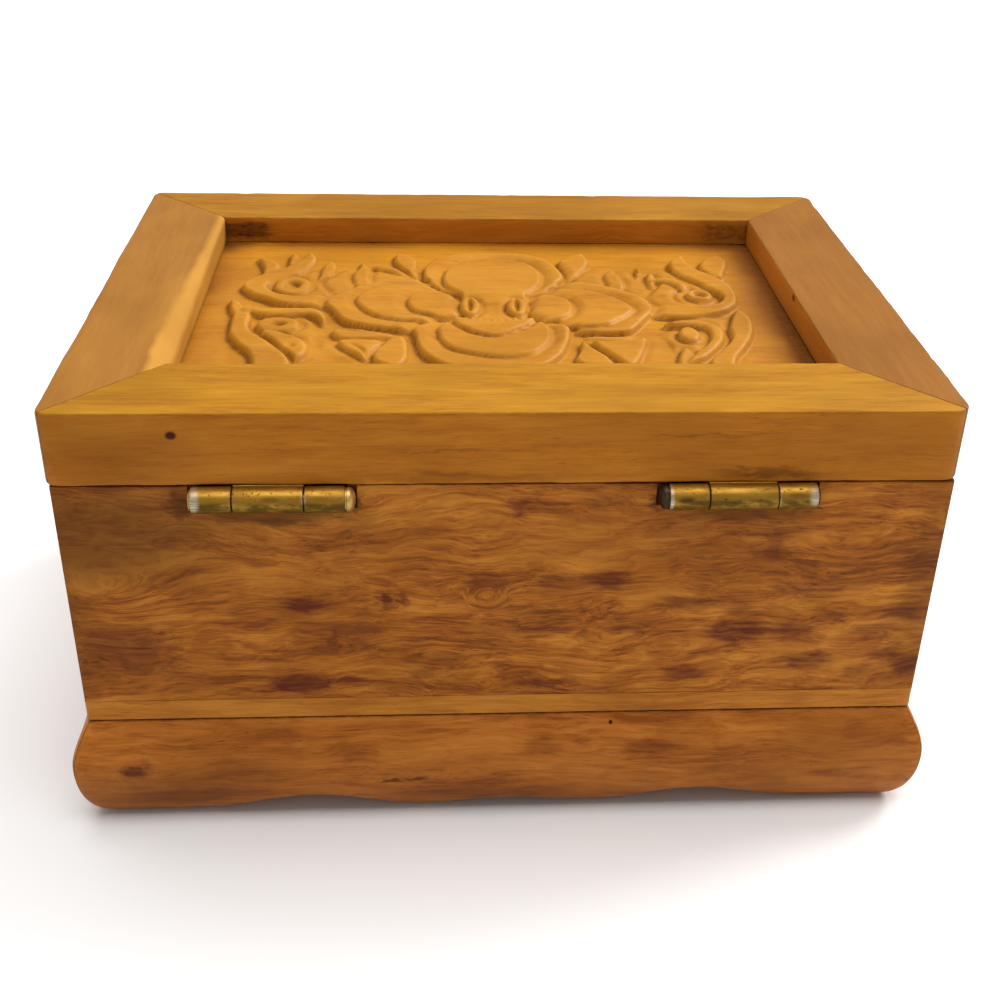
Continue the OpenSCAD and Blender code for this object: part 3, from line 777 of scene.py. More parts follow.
def carve(xs, ys):
    """The carved height map of the panel."""
    relief = Relief(xs, ys)
    for swell in SWELLS:
        relief.lay_oval(*swell, SWELL_H, 6.0)
    for points in LEAVES_LEFT + LEAVES_RIGHT:
        relief.band(points, 1.25)
    for points in SCROLLS_LEFT[:1] + SCROLLS_RIGHT[:1]:
        relief.band(points)
    relief.ring(41.7, -11.2, 3.0, 3.9, 1.3, 1.35)
    relief.band(CURL, 1.3)
    relief.lay_oval(-41.2, -6, 4.6, 4.2, 1.0)
    relief.ring(-42, -6, 2.4, 2.4, 0.8, 1.5, 0.6)
    for points in SCROLLS_LEFT[1:] + SCROLLS_RIGHT[1:]:
        relief.band(points)
    relief.ring(42.8, 9.9, 3.3, 2.5, 1.35, 1.4, 0.5)
    relief.band(TEARDROP)
    relief.dent(39.4, 20.6, 1.5, 1.5, -0.5)
    relief.lay_oval(-36.6, 14.8, 2.5, 3.7, 1.5)
    for points in [FAN_RIGHT] + FAN_LEFT:
        relief.band(points, 1.2)
    for outline in PLATES:
        relief.patch(outline, 1.35)
    relief.cut([(28.4, 19.6, 0.5), (26.2, 22, 0.8), (25.2, 25, 0.6)], 0.7)
    for outlines in (SIDE_PETALS, FAR_PETAL, NEAR_PETAL):
        for outline in outlines:
            relief.patch(outline, CARVED_H, 0.9, 0.85, 2.6)
    relief.patch(BOSS, 1.1, 1.2, 0.3, 1.6)
    relief.dent(0.8, 1.6, 3.2, 5.0, -0.6)
    relief.patch(COLLAR, 1.7, 0.9, 0.7, 1.6)
    for x in np.linspace(6.6, -4.6, BEAD_COUNT):
        relief.dent(x, 8.4 - 0.05 * (x - 1) ** 2, 0.8, 1.4, 0.65)
    for x, y in NICKS:
        relief.dent(x, y, 1.0, 1.2, -0.5)
    for x in EYES_X:
        relief.lay_oval(x, 0.6, 2.4, 5.0, 1.65, 0.9)
        relief.cut([(x, -3.4, 0.5), (x, 0.4, 0.8), (x, 4.0, 0.5)], 1.0)
    return relief.h


def blurred(values, radius):
    """A box blur, twice, along both directions of a grid."""
    width = 2 * radius + 1
    kernel = np.ones(width) / width
    for _ in range(2):
        for axis in (0, 1):
            padded = np.pad(values, [(radius, radius) if a == axis else (0, 0) for a in (0, 1)], mode="edge")
            values = np.apply_along_axis(lambda row: np.convolve(row, kernel, "valid"), axis, padded)
    return values


# The crack near one end of the panel
CREVICE_X, CREVICE_REACH, CREVICE_DEPTH = -58.3, 4.0, 0.3
FIELD_MARGIN = 0.5
# Tool marks: how high they are, and how far they lower the field
TOOL_MARK_H, TOOL_SINK = 0.05, 0.06
EDGE_SINK = 0.03
PANEL_SHARP_DEG = 70.0


def panel_wear_and_painted_light(h, xs, ys, gx, gy, edge_gap, crevice):
    """Soil with painted shade in the panel's hollows, the shade laid mostly on slopes facing away from the
    light; painted highlights with rubbed lightness on crests facing it; and how brown the panel is.
    """
    cavity = blurred(h, 2) - h
    slope_x, slope_y = np.gradient(h, xs, ys)
    # Slopes that face away from the light, towards +x and +y
    away_from_light = blurred(-0.8 * slope_x - 0.6 * slope_y, 1)
    # Soil in the hollows, with painted shade laid mostly on those slopes
    soil = np.clip(cavity * 4.2 - 0.1, 0, 1) * np.clip(0.1 + 2.4 * away_from_light, 0.06, 1)
    # Painted highlights on crests that face the light, with the crests' rubbed lightness
    crest_highlight = np.clip(-cavity * 3.0 - 0.1, 0, 1) * np.clip(0.15 - 1.2 * away_from_light, 0.1, 1)
    # Darker towards the recess's far corners and along the crack by the right wall
    far_left = smoothstep(1.1 - np.hypot((OPENING_X - gx) / 8, (gy - OPENING_FRONT_Y) / 9))
    far_right = smoothstep(1.1 - np.hypot((OPENING_X + gx) / 15, (gy - OPENING_FRONT_Y) / 6))
    soil = np.clip(soil + 1.8 * crevice + 1.4 * far_left + 0.9 * far_right, 0, 1)
    patina = smoothstep(1 - edge_gap / 8) * (h < 0.6) + 0.9 * smoothstep((-gx - 43) / 14)
    return {"soil": soil, "crest_highlight": crest_highlight, "patina": patina}


def carved_panel():
    """The panel: a carved field inside the lid's opening, and a plain margin under the frame's lip."""
    reach_x = OPENING_X + FIELD_MARGIN
    low_y, high_y = OPENING_FRONT_Y - FIELD_MARGIN, OPENING_BACK_Y + FIELD_MARGIN
    xs = np.concatenate([[PANEL_LOW.x], np.arange(-reach_x, reach_x + 0.01, CELL), [PANEL_HIGH.x]])
    ys = np.concatenate([[PANEL_LOW.y], np.arange(low_y, high_y + 0.01, CELL), [PANEL_HIGH.y]])
    gx, gy = np.meshgrid(xs, ys, indexing="ij")
    h = carve(xs, ys)
    flat = np.column_stack([gx.ravel(), gy.ravel()])
    quick, slow = ripple(flat, 3.2, 11, 12), ripple(flat, 11, 12)
    h = h + (quick.reshape(h.shape) * TOOL_MARK_H + slow.reshape(h.shape) * TOOL_MARK_H) - TOOL_SINK
    edge_gap = np.minimum.reduce([OPENING_X - np.abs(gx), gy - OPENING_FRONT_Y, OPENING_BACK_Y - gy])
    crevice = smoothstep(1 - np.abs(gx - CREVICE_X) / CREVICE_REACH)
    crevice *= 0.45 + 0.55 * smoothstep((gy + 12) / 26)
    h -= CREVICE_DEPTH * crevice
    h = np.where(edge_gap < 0.1, np.minimum(h, -EDGE_SINK), h)
    wear_and_painted_light = panel_wear_and_painted_light(h, xs, ys, gx, gy, edge_gap, crevice)
    top = np.column_stack([flat, (GROUND_Z + h).ravel()])
    number = np.arange(h.size).reshape(h.shape)
    quads = np.stack([number[:-1, :-1], number[1:, :-1], number[1:, 1:], number[:-1, 1:]], -1).reshape(-1, 4)
    rim = np.concatenate([number[:, 0], number[-1, 1:], number[-2::-1, -1], number[0, -2:0:-1]])
    bottom = np.column_stack([flat[rim], np.full(len(rim), PANEL_LOW.z)])
    below = np.arange(len(rim)) + h.size
    sides = np.stack([rim, below, np.roll(below, -1), np.roll(rim, -1)], 1)
    faces = quads.tolist() + sides.tolist() + [below[::-1].tolist()]
    pad = np.zeros(len(rim))
    wear_and_painted_light = {key: np.concatenate([values.ravel(), pad]) for key, values in wear_and_painted_light.items()}
    return mesh_object("lid_carved_panel_wood", np.vstack([top, bottom]), faces, PANEL_SHARP_DEG, **wear_and_painted_light)


# Hinges
#
# x runs along the pin with its head at the low end, as on the right hinge. The left one is its mirror image.

BARREL_R = 2.3
MIDDLE_KNUCKLE = 11.6
KNUCKLE_GAP = 0.2
KNUCKLE_EASE = 0.18
BORE_R = 1.2
PIN_R = 1.15
PIN_HEAD_R, PIN_HEAD_H, PIN_RIM = 2.1, 1.7, 0.6
PIN_NECK_R = PIN_HEAD_R - 0.15
PEEN_R = 1.8
PEEN_H = 0.5
LEAF_T = 1.0
LEAF_FACE = 2.45
LEAF_W = 9.5
LEAF_EASE = 0.15
LEAF_TO_AXIS = 0.5
LEAF_CUT_H = 4.0
SCREW_SPACING = 14.0
SCREW_PLACES = (-SCREW_SPACING / 2, SCREW_SPACING / 2)
SCREW_R = 1.1
SCREW_HEAD_R = 2.0
SCREW_LEN = 9.0
SCREW_Y = -(LEAF_W + BARREL_R) / 2
SLOT_HALF_W, SLOT_DEPTH, SLOT_REACH = 0.3, 0.4, 3.0
HOLE_ROOM = 0.05
LATHE_STEPS = 56
DENT_PITCH = 3.0
METAL_SHARP_DEG = 35.0


def lathe(name, profile, axis="x", dents=0.0, seed=0):
    """Turns a profile of (along, radius) round an axis. One that starts and ends on the axis is solid."""
    steps = LATHE_STEPS
    solid = profile[0][1] == 0
    rows = profile[1:-1] if solid else profile
    angles = [2 * math.pi * k / steps for k in range(steps)]
    points = np.array([(along, r * math.cos(a), r * math.sin(a)) for along, r in rows for a in angles])
    if dents:
        points[:, 1:] *= 1 + dents * np.minimum(0, ripple(points, DENT_PITCH, seed) - 0.1)[:, None]
    m = len(rows)
    pairs = [(k, (k + 1) % steps) for k in range(steps)]
    faces = []
    for i in range(m - 1 if solid else m):
        j = (i + 1) % m
        faces += [(i * steps + k, i * steps + n, j * steps + n, j * steps + k) for k, n in pairs]
    if solid:
        first, last_row = len(points), (m - 1) * steps
        points = np.vstack([points, (profile[0][0], 0, 0), (profile[-1][0], 0, 0)])
        for k, n in pairs:
            faces += [(first, n, k), (first + 1, last_row + k, last_row + n)]
    if axis == "z":
        points = points[:, [1, 2, 0]]
    return mesh_object(name, points, faces, METAL_SHARP_DEG)


def cylinder(name, low, high, r):
    """A solid cylinder round the x axis."""
    return lathe(name, [(low, 0.0), (low, r), (high, r), (high, 0.0)])


def knuckle(name, low, high, seed):
    """A tube of the barrel with eased ends."""
    e = KNUCKLE_EASE
    profile = [
        (low, BORE_R), (low, BARREL_R - e), (low + 0.3 * e, BARREL_R - 0.3 * e), (low + e, BARREL_R),
        ((2 * low + high) / 3, BARREL_R), ((low + 2 * high) / 3, BARREL_R),
        (high - e, BARREL_R), (high - 0.3 * e, BARREL_R - 0.3 * e), (high, BARREL_R - e), (high, BORE_R),
    ]
    return lathe(name, profile, dents=0.012, seed=seed)


def screw_shape(name, x, clearance, length, slot):
    """A countersunk screw with a slot, pointing down from the leaf's inner face, or the hole for one."""
    top = -LEAF_FACE + LEAF_T
    head, shank = SCREW_HEAD_R + clearance, SCREW_R + clearance
    over, rim, taper = (0.0, 0.06, SCREW_R * 2) if slot else (0.5, 0.0, 0.01)
    profile = [(top + over, 0.0), (top + over, head), (top - rim, head), (top - (head - shank), shank)]
    profile += [(top - length + taper, shank), (top - length, 0.0)]
    screw = lathe(name, profile, axis="z")
    screw.data.transform(Matrix.Translation(Vector((x, SCREW_Y, 0)) * MM))
    if slot:
        low = (x - SLOT_REACH, SCREW_Y - SLOT_HALF_W, top - SLOT_DEPTH)
        high = (x + SLOT_REACH, SCREW_Y + SLOT_HALF_W, top + 1)
        combine(screw, block("slot", low, high))
    return screw


def leaf(name, knuckles, length, seed):
    """A leaf: a plate below the pin with two countersunk holes, and its knuckles."""
    half, middle = length / 2, MIDDLE_KNUCKLE / 2
    end, clear = half + 1, BARREL_R + KNUCKLE_GAP
    piece = block(name, (-half, -LEAF_W, -LEAF_FACE), (half, -LEAF_TO_AXIS, -LEAF_FACE + LEAF_T), LEAF_EASE)
    gaps = [(-end, -middle), (middle, end)]
    if len(knuckles) == 2:
        gaps = [(-middle - KNUCKLE_GAP, middle + KNUCKLE_GAP)]
    for low, high in gaps:
        combine(piece, block("gap", (low, -clear, -LEAF_CUT_H), (high, clear, LEAF_CUT_H)))
    for x in SCREW_PLACES:
        combine(piece, screw_shape("hole", x, HOLE_ROOM, LEAF_T + 1, False))
    for i, (low, high) in enumerate(knuckles):
        combine(piece, knuckle("knuckle", low, high, seed + i), "UNION")
    combine(piece, cylinder("bore", -end, end, BORE_R))
    return piece


def pin(name, length):
    """The pin, with a domed head at its low end and a hammered one at the other."""
    half, dome = length / 2, PIN_HEAD_H - PIN_RIM
    angles = np.linspace(0, math.pi / 2, 9)
    profile = [(-half - PIN_RIM - dome * math.cos(a), PIN_HEAD_R * math.sin(a)) for a in angles]
    profile += [(-half - 0.3, PIN_HEAD_R), (-half - 0.2, PIN_NECK_R), (-half, PIN_NECK_R), (-half, PIN_R)]
    profile += [(half, PIN_R), (half, PEEN_R - 0.1), (half + 0.15, PEEN_R), (half + 0.35, PEEN_R - 0.12)]
    profile += [(half + PEEN_H, PEEN_R - 0.6), (half + PEEN_H, 0.0)]
    return lathe(name, profile, dents=0.02, seed=3)


def join(pieces):
    """Joins meshes that don't touch into the first one."""
    bm = bmesh.new()
    for piece in pieces:
        bm.from_mesh(piece.data)
    bm.to_mesh(pieces[0].data)
    bm.free()
    for piece in pieces[1:]:
        bpy.data.objects.remove(piece)
    return pieces[0]


def hinge(side, brass, pin_metal, screw_metal):
    """A hinge: a leaf and two screws on the box, the same on the lid, and the pin through both."""
    mirror = 1 if side == "right" else -1
    base = f"{side}_hinge"
    low, high = box_mm(f"{base}_box_leaf")
    length, centre = high.x - low.x, (low.x + high.x) / 2
    half, middle = length / 2, MIDDLE_KNUCKLE / 2
    inner = middle + KNUCKLE_GAP
    move = Matrix.Translation(Vector((centre, AXIS.y, AXIS.z)) * MM)

    def seat(piece, node, body, material):
        """Puts a piece, made round the pin, in its place; the lid's pieces are the box's ones turned over."""
        piece.data.transform(move @ Matrix.Diagonal((mirror, 1, -1 if body == "lid" else 1, 1)))
        smooth_outward(piece.data, METAL_SHARP_DEG)
        dress(piece, body, material, node)

    for body, knuckles in (("box", [(-half, -inner), (inner, half)]), ("lid", [(-middle, middle)])):
        node = f"{base}_{body}_leaf"
        seat(leaf(f"{node}_brass", knuckles, length, 20 + len(knuckles)), node, body, brass)
        node = f"{base}_{body}_screws"
        screws = [screw_shape(f"{node}_brass", x, 0.0, SCREW_LEN, True) for x in SCREW_PLACES]
        seat(join(screws), node, body, screw_metal)
    node = f"{base}_pin"
    seat(pin(f"{node}_brass", length), node, "box", pin_metal)


# Shaders

# Layers of noise: their size along the grain and across it in millimetres, their detail and roughness
LAYERS = {
    "sway": (36, 15, 1.0, 0.5), "shiver": (9, 5, 1.0, 0.5), "bands": (34, 5.2, 2.0, 0.5),
    "lines": (15, 1.1, 3.0, 0.6), "fibres": (6.0, 0.36, 2.0, 0.6), "cloud": (26, 20, 2.0, 0.5),
    "wave": (11, 3.4, 1.0, 0.4), "rag": (4.5, 1.8, 3.0, 0.6), "patch": (10, 4.2, 2.0, 0.5),
    "thin": (3.4, 0.24, 1.0, 0.5), "grit": (2.2, 0.9, 4.0, 0.7),
    "tarnish": (3.6, 1.7, 4.0, 0.62), "specks": (0.5, 0.4, 2.0, 0.5), "scratches": (4.0, 0.12, 2.0, 0.5),
    "mottle": (1000 / 6, 1000 / 6, 2.0, 0.5),
}


class Graph:
    """A material's node tree, with short calls for the nodes used here."""

    def __init__(self, name, away=(0.0, 0.0, 0.0)):
        self.material = bpy.data.materials.new(name)
        self.material.use_nodes = True
        self.tree = self.material.node_tree
        self.tree.nodes.clear()
        self.away = away
        self.mm = self.stretch(self.node("TexCoord").outputs["Object"], (1 / MM,) * 3)

    def node(self, kind, inputs=None, **settings):
        """A shader node; its inputs are sockets to link or constants."""
        made = self.tree.nodes.new(f"ShaderNode{kind}")
        for key, value in settings.items():
            setattr(made, key, value)
        for key, value in (inputs or {}).items():
            self.put(made.inputs[key], value)
        return made

    def put(self, socket, value):
        if isinstance(value, bpy.types.NodeSocket):
            self.tree.links.new(value, socket)
        elif hasattr(value, "__len__") and socket.type == "RGBA" and len(value) == 3:
            socket.default_value = (*value, 1.0)
        else:
            socket.default_value = value

    def math(self, operation, a, b=0.0, clamp=False):
        return self.node("Math", {0: a, 1: b}, operation=operation, use_clamp=clamp).outputs[0]

    def times(self, a, b, clamp=False):
        return self.math("MULTIPLY", a, b, clamp)

    def larger(self, a, b):
        return self.math("MAXIMUM", a, b)

    def total(self, *terms):
        """The sum of (value, weight) pairs."""
        result = None
        for value, weight in terms:
            term = self.times(value, weight)
            result = term if result is None else self.math("ADD", result, term)
        return result

    def mix(self, factor, a, b, blend="MIX"):
        made = self.node("Mix", {0: factor, 6: a, 7: b}, data_type="RGBA", blend_type=blend)
        return made.outputs[2]

    def vector(self, operation, *values):
        return self.node("VectorMath", dict(enumerate(values)), operation=operation).outputs

    def stretch(self, vector, factors, offset=(0.0, 0.0, 0.0)):
        return self.vector("MULTIPLY_ADD", vector, factors, offset)[0]

    def add(self, a, b):
        return self.vector("ADD", a, b)[0]

    def layer(self, at, name, colour=False):
        """One of the layers of noise."""
        along, across, detail, rough = LAYERS[name]
        place = self.stretch(at, (1 / along, 1 / across, 1 / across), self.away)
        made = self.node("TexNoise", {"Vector": place, "Scale": 1.0, "Detail": detail, "Roughness": rough})
        return made.outputs[1 if colour else 0]

    def bend(self, at, name, source, across, along=0.0):
        """Moves places by a layer's noise, by up to half of across and along each way."""
        reach = (along, across, across)
        return self.add(at, self.stretch(self.layer(source, name, True), reach, [-r / 2 for r in reach]))

    def smooth(self, value, low, high, to_low=0.0, to_high=1.0):
        inputs = {"Value": value, "From Min": low, "From Max": high, "To Min": to_low, "To Max": to_high}
        return self.node("MapRange", inputs, interpolation_type="SMOOTHSTEP").outputs[0]

    def ramp(self, value, stops):
        made = self.node("ValToRGB", {0: value})
        elements = made.color_ramp.elements
        elements[0].position, elements[0].color = stops[0][0], (*stops[0][1], 1)
        elements[1].position, elements[1].color = stops[-1][0], (*stops[-1][1], 1)
        for at, tone in stops[1:-1]:
            elements.new(at).color = (*tone, 1)
        return made.outputs[0]

    def attribute(self, name):
        return self.node("Attribute", attribute_name=name).outputs["Fac"]

    def spots(self, at, places, mask=0.0, inner=0.3, outer=1.2):
        """Soft ovals laid over a mask: a place is (x, z, half width, half height, strength)."""
        for x, z, rx, rz, strength in places:
            reach = self.vector("LENGTH", self.stretch(at, (1 / rx, 0.0, 1 / rz), (-x / rx, 0.0, -z / rz)))[1]
            mask = self.larger(mask, self.smooth(reach, inner, outer, strength, 0.0))
        return mask

    def finish(self, colour, roughness, height=None, bump_mm=0.0, metallic=0.0, **constants):
        """The shader itself: linked inputs, and constants set on its own sockets."""
        inputs = {"Base Color": colour, "Roughness": roughness, "Metallic": metallic}
        if height is not None:
            bump = {"Height": height, "Distance": bump_mm * MM, "Strength": 1.0}
            inputs["Normal"] = self.node("Bump", bump).outputs[0]
        shader = self.node("BsdfPrincipled", inputs)
        for key, value in constants.items():
            shader.inputs[key.replace("_", " ")].default_value = value
        out = self.node("OutputMaterial")
        self.tree.links.new(shader.outputs[0], out.inputs[0])
        return self.material


def srgb(*seen):
    """A colour as seen, 0 to 255, in the linear values that shaders take."""
    return tuple(c / 12.92 if c <= 0.04045 else ((c + 0.055) / 1.055) ** 2.4 for c in (v / 255 for v in seen))


def scaled(tone, factor):
    """A colour made lighter or darker."""
    return tuple(min(1.0, factor * c) for c in tone)


# Colours as the wood and the metal have them; some, as marked, paint light and shade
LID_TONES = (srgb(142, 87, 14), srgb(165, 111, 20), srgb(178, 127, 30))
LID_FRONT_TONES = (srgb(130, 78, 13), srgb(152, 100, 18), srgb(164, 115, 28))
LID_RIGHT_TONES = (srgb(138, 85, 28), srgb(150, 100, 38), srgb(161, 112, 48))
LID_LEFT_TONES = (srgb(124, 75, 22), srgb(138, 88, 30), srgb(150, 99, 38))
PANEL_TONES = (srgb(150, 90, 16), srgb(174, 114, 26), srgb(184, 128, 36))
WALL_TONES = (srgb(111, 55, 18), srgb(158, 89, 27), srgb(188, 120, 42))
BOARD_TONES = (srgb(152, 86, 28), srgb(176, 108, 36), srgb(190, 124, 46))
SKIRT_TONES = (srgb(133, 70, 26), srgb(168, 97, 34), srgb(186, 115, 46))
# Rubbed wood; on the right rail's inner chamfer it also paints light
RUBBED_AND_PAINTED_LIGHT_TONE = srgb(194, 140, 56)
PIP_TONE = srgb(58, 14, 10)
RED_STAIN = srgb(88, 32, 18)
# Painted highlights on the carving's crests, with their rubbed lightness
CREST_HIGHLIGHT_TONE = srgb(204, 152, 74)
PATINA_TONE = srgb(126, 74, 22)
# Soil with painted shade in the carving's hollows
SOIL_AND_SHADE_TONE = srgb(82, 42, 8)
# Darkened joints, edges and recess corners
DARKENING_TONE = srgb(44, 20, 8)
SILVER = srgb(205, 196, 172)
# Metals as they are bright and tarnished; the tarnished tone also paints shade on the metal's lower half
BRASS_TONES = (srgb(166, 124, 48), srgb(78, 58, 18))
# The left hinge's pin in painted shade: a darker copy of the pin's tones
PAINTED_SHADE_PIN_TONES = (srgb(84, 72, 52), srgb(34, 28, 20))
PIN_TONES = (srgb(214, 182, 104), srgb(104, 80, 38))
SCREW_TONES = (srgb(212, 182, 108), srgb(104, 80, 38))
WARM_SHEEN = (1.0, 0.76, 0.45, 1.0)
# What multiplies a rail's colour below the lid's top: painted light and shade. The back's faces there are
# made redder than its top, which has a sheen of light, and the inner faces of the front and the left rails,
# which lie in shade, are made brighter
BACK_PAINTED_SHADE_TINT = (1.03, 0.80, 1.25)
FRONT_PAINTED_LIGHT_TINT = (1.5, 1.25, 2.1)
LEFT_PAINTED_LIGHT_TINT = (2.1, 1.85, 1.4)
# A reach further out than any rail
WHOLE_RAIL = 100.0
# How far a knot pushes the grain, how deep the grain and the scratches are, and how the bands of light slant
KNOT_LIFT = 6.0
WOOD_BUMP, METAL_BUMP = 0.03, 0.05
SLANT = math.radians(-9)


def wood(name, turns, seed, tones, figure=1.0, contrast=1.0, blotch=0.0, marks=(), painted_shade_and_patches=(), knots=(),
         glow=0.0, below=None, pips=(), rough=(0.42, 0.6), carved=False):
    """Varnished wood whose grain runs along a side.

    tones are its dark, middle and light colours, figure is how far the grain wanders in millimetres, and
    blotch is how much the stain shows of itself. marks are stained places, and the darker places after them
    are painted shadows and shade with a few dark patches and lines; knots are places that the grain goes
    round, and pips small dark knots. glow is how much bands of light cross the wood. below is (tint, reach):
    a tint of painted light and shade for what lies under the lid's top and no further out than reach."""
    g = Graph(name, (seed * 57.3, seed * 13.1, seed * 9.7))
    mm = g.mm
    if turns % 2:
        x, y, z = g.node("SeparateXYZ", {0: mm}).outputs
        mm = g.node("CombineXYZ", {0: y, 1: x, 2: z}).outputs[0]
    bent = g.bend(g.bend(mm, "sway", mm, 4 * figure), "shiver", mm, figure)
    if knots:
        lift = g.times(g.spots(mm, knots, inner=0.0, outer=1.0), KNOT_LIFT)
        bent = g.add(bent, g.node("CombineXYZ", {2: lift}).outputs[0])
    bands, lines, fibres = (g.layer(bent, layer) for layer in ("bands", "lines", "fibres"))
    cloud, grit = g.layer(mm, "cloud"), g.layer(mm, "grit")
    tone = g.total((bands, 0.36 * contrast), (lines, 0.38 * contrast), (fibres, 0.26 * contrast))
    dark, middle, light = tones
    colour = g.ramp(g.math("ADD", tone, 0.5 * (1 - contrast)), [(0.39, dark), (0.49, middle), (0.60, light)])
    if glow:
        slanted = g.node("VectorRotate", {"Vector": bent, "Axis": (0.0, 1.0, 0.0), "Angle": SLANT}).outputs[0]
        wave = g.layer(slanted, "wave")
        colour = g.mix(g.smooth(wave, 0.52, 0.70, 0.0, glow), colour, scaled(light, 1.3))
        colour = g.mix(g.smooth(wave, 0.34, 0.47, glow, 0.0), colour, dark)
    colour = g.mix(g.smooth(cloud, 0.42, 0.66, 0.0, 0.4), colour, scaled(middle, 0.68))
    ragged = g.bend(mm, "rag", bent, 3.4, 8.0)
    stained = g.spots(ragged, marks, g.smooth(g.layer(bent, "patch"), 0.56, 0.70, 0.0, blotch))
    colour = g.mix(g.times(stained, g.smooth(lines, 0.30, 0.66, 1.1, 0.7)), colour, RED_STAIN)
    # Painted shadows and shade, with a few darker patches and lines
    if painted_shade_and_patches:
        colour = g.mix(g.spots(ragged, painted_shade_and_patches), colour, scaled(dark, 0.30))
    flecks = g.smooth(g.layer(bent, "thin"), 0.62, 0.72, 0.0, 0.6 * min(1.0, contrast))
    flecks = g.times(flecks, g.smooth(bands, 0.38, 0.6, 1.0, 0.35))
    colour = g.mix(flecks, colour, scaled(dark, 0.45))
    if pips:
        colour = g.mix(g.spots(mm, pips, inner=0.5, outer=1.1), colour, PIP_TONE)
    colour, soiled = weathered_with_painted_light(g, colour, cloud, grit, carved)
    # Painted light and shade on a rail's faces under the lid's top
    if below:
        tint, reach = below
        _, across, up = g.node("SeparateXYZ", {0: mm}).outputs
        under = g.smooth(up, LID_TOP_Z - 0.5, LID_TOP_Z - 0.1, 1.0, 0.0)
        within = g.smooth(g.math("ABSOLUTE", across), reach - 0.5, reach + 0.5, 1.0, 0.0)
        colour = g.mix(g.times(under, within), colour, tint, "MULTIPLY")
    shine = g.smooth(g.total((lines, 0.6), (cloud, 0.4)), 0.35, 0.62, rough[0], rough[1])
    shine = g.math("ADD", shine, g.times(soiled, 0.2))
    height = g.total((lines, 0.8), (fibres, 0.7), (flecks, -0.8))
    return g.finish(colour, shine, height, WOOD_BUMP, Specular_IOR_Level=0.16, Specular_Tint=WARM_SHEEN)


def weathered_with_painted_light(g, colour, cloud, grit, carved):
    """The wood's colour with its rubbed places, in part painted light, its darkened places, and on the
    carving painted shade and painted highlights; and how darkened it is.
    """
    soil = g.larger(g.attribute("soil"), 0.0)
    rubbed = g.larger(g.times(g.attribute("soil"), -1.0), 0.0)
    # Rubbed places made lighter: wear, and on the right rail's chamfer painted light
    colour = g.mix(g.times(rubbed, g.smooth(cloud, 0.3, 0.6, 1.0, 0.7)), colour, RUBBED_AND_PAINTED_LIGHT_TONE)
    soiled = g.times(soil, g.smooth(grit, 0.38, 0.58, 0.25, 1.0), True)
    soiled = g.larger(soiled, g.times(g.times(soil, soil), 0.85))
    if not carved:
        return g.mix(g.times(soiled, 0.9), colour, DARKENING_TONE), soiled
    # On the carving: painted highlights on crests, patina, and soil with painted shade
    for amount, noise, limits, tone in (
        (g.attribute("crest_highlight"), grit, (0.35, 0.6, 0.3, 0.6), CREST_HIGHLIGHT_TONE),
        (g.attribute("patina"), cloud, (0.35, 0.6, 0.35, 0.75), PATINA_TONE),
        (soil, grit, (0.3, 0.6, 0.5, 0.8), SOIL_AND_SHADE_TONE),
    ):
        colour = g.mix(g.times(amount, g.smooth(noise, *limits)), colour, tone)
    return colour, soiled


def metal(name, tones, amount, seed, bare=(), stained=()):
    """Worn metal, tarnished, and darkest on its lower half, where painted shade is laid with the tarnish;
    with fine scratches and pits.

    tones are its bright colour and its tarnished one, which also paints the shade; bare are places rubbed
    silvery and stained are dark ones."""
    g = Graph(name)
    bright, dull = tones
    shifted = g.add(g.mm, (seed * 31.7, seed * 7.9, 0.0))
    patches, scratches = g.layer(shifted, "tarnish"), g.layer(shifted, "scratches")
    specks = g.smooth(g.layer(shifted, "specks"), 0.62, 0.70)
    # Painted shade on the lower half, below the pin's axis, laid with the tarnish
    low_side = g.smooth(g.node("SeparateXYZ", {0: g.mm}).outputs[2], AXIS.z + 0.1, AXIS.z + 1.1, 1.0, 0.0)
    mask = g.times(g.smooth(patches, 0.36, 0.56, 0.45, 1.0), g.times(low_side, amount))
    mask = g.larger(mask, g.smooth(patches, 0.60, 0.72, 0.0, 0.7 * amount))
    mask = g.spots(g.mm, stained, g.larger(mask, g.times(specks, 0.6)))
    colour = g.mix(mask, bright, dull)
    colour = g.mix(g.smooth(scratches, 0.55, 0.72, 0.0, 0.25), colour, scaled(bright, 1.25))
    if bare:
        rubbed = g.times(g.spots(g.mm, bare), g.smooth(scratches, 0.35, 0.6, 0.3, 1.0))
        colour = g.mix(rubbed, colour, SILVER)
    shine = g.total((g.smooth(patches, 0.35, 0.7, 0.34, 0.56), 1.0), (specks, 0.2), (scratches, 0.08))
    height = g.total((patches, 0.6), (specks, -0.5), (scratches, 0.25))
    metallic = g.smooth(mask, 0.2, 1.0, 0.9, 0.6)
    return g.finish(
        colour, shine, height, METAL_BUMP, metallic, Specular_IOR_Level=0.2, Specular_Tint=WARM_SHEEN,
    )


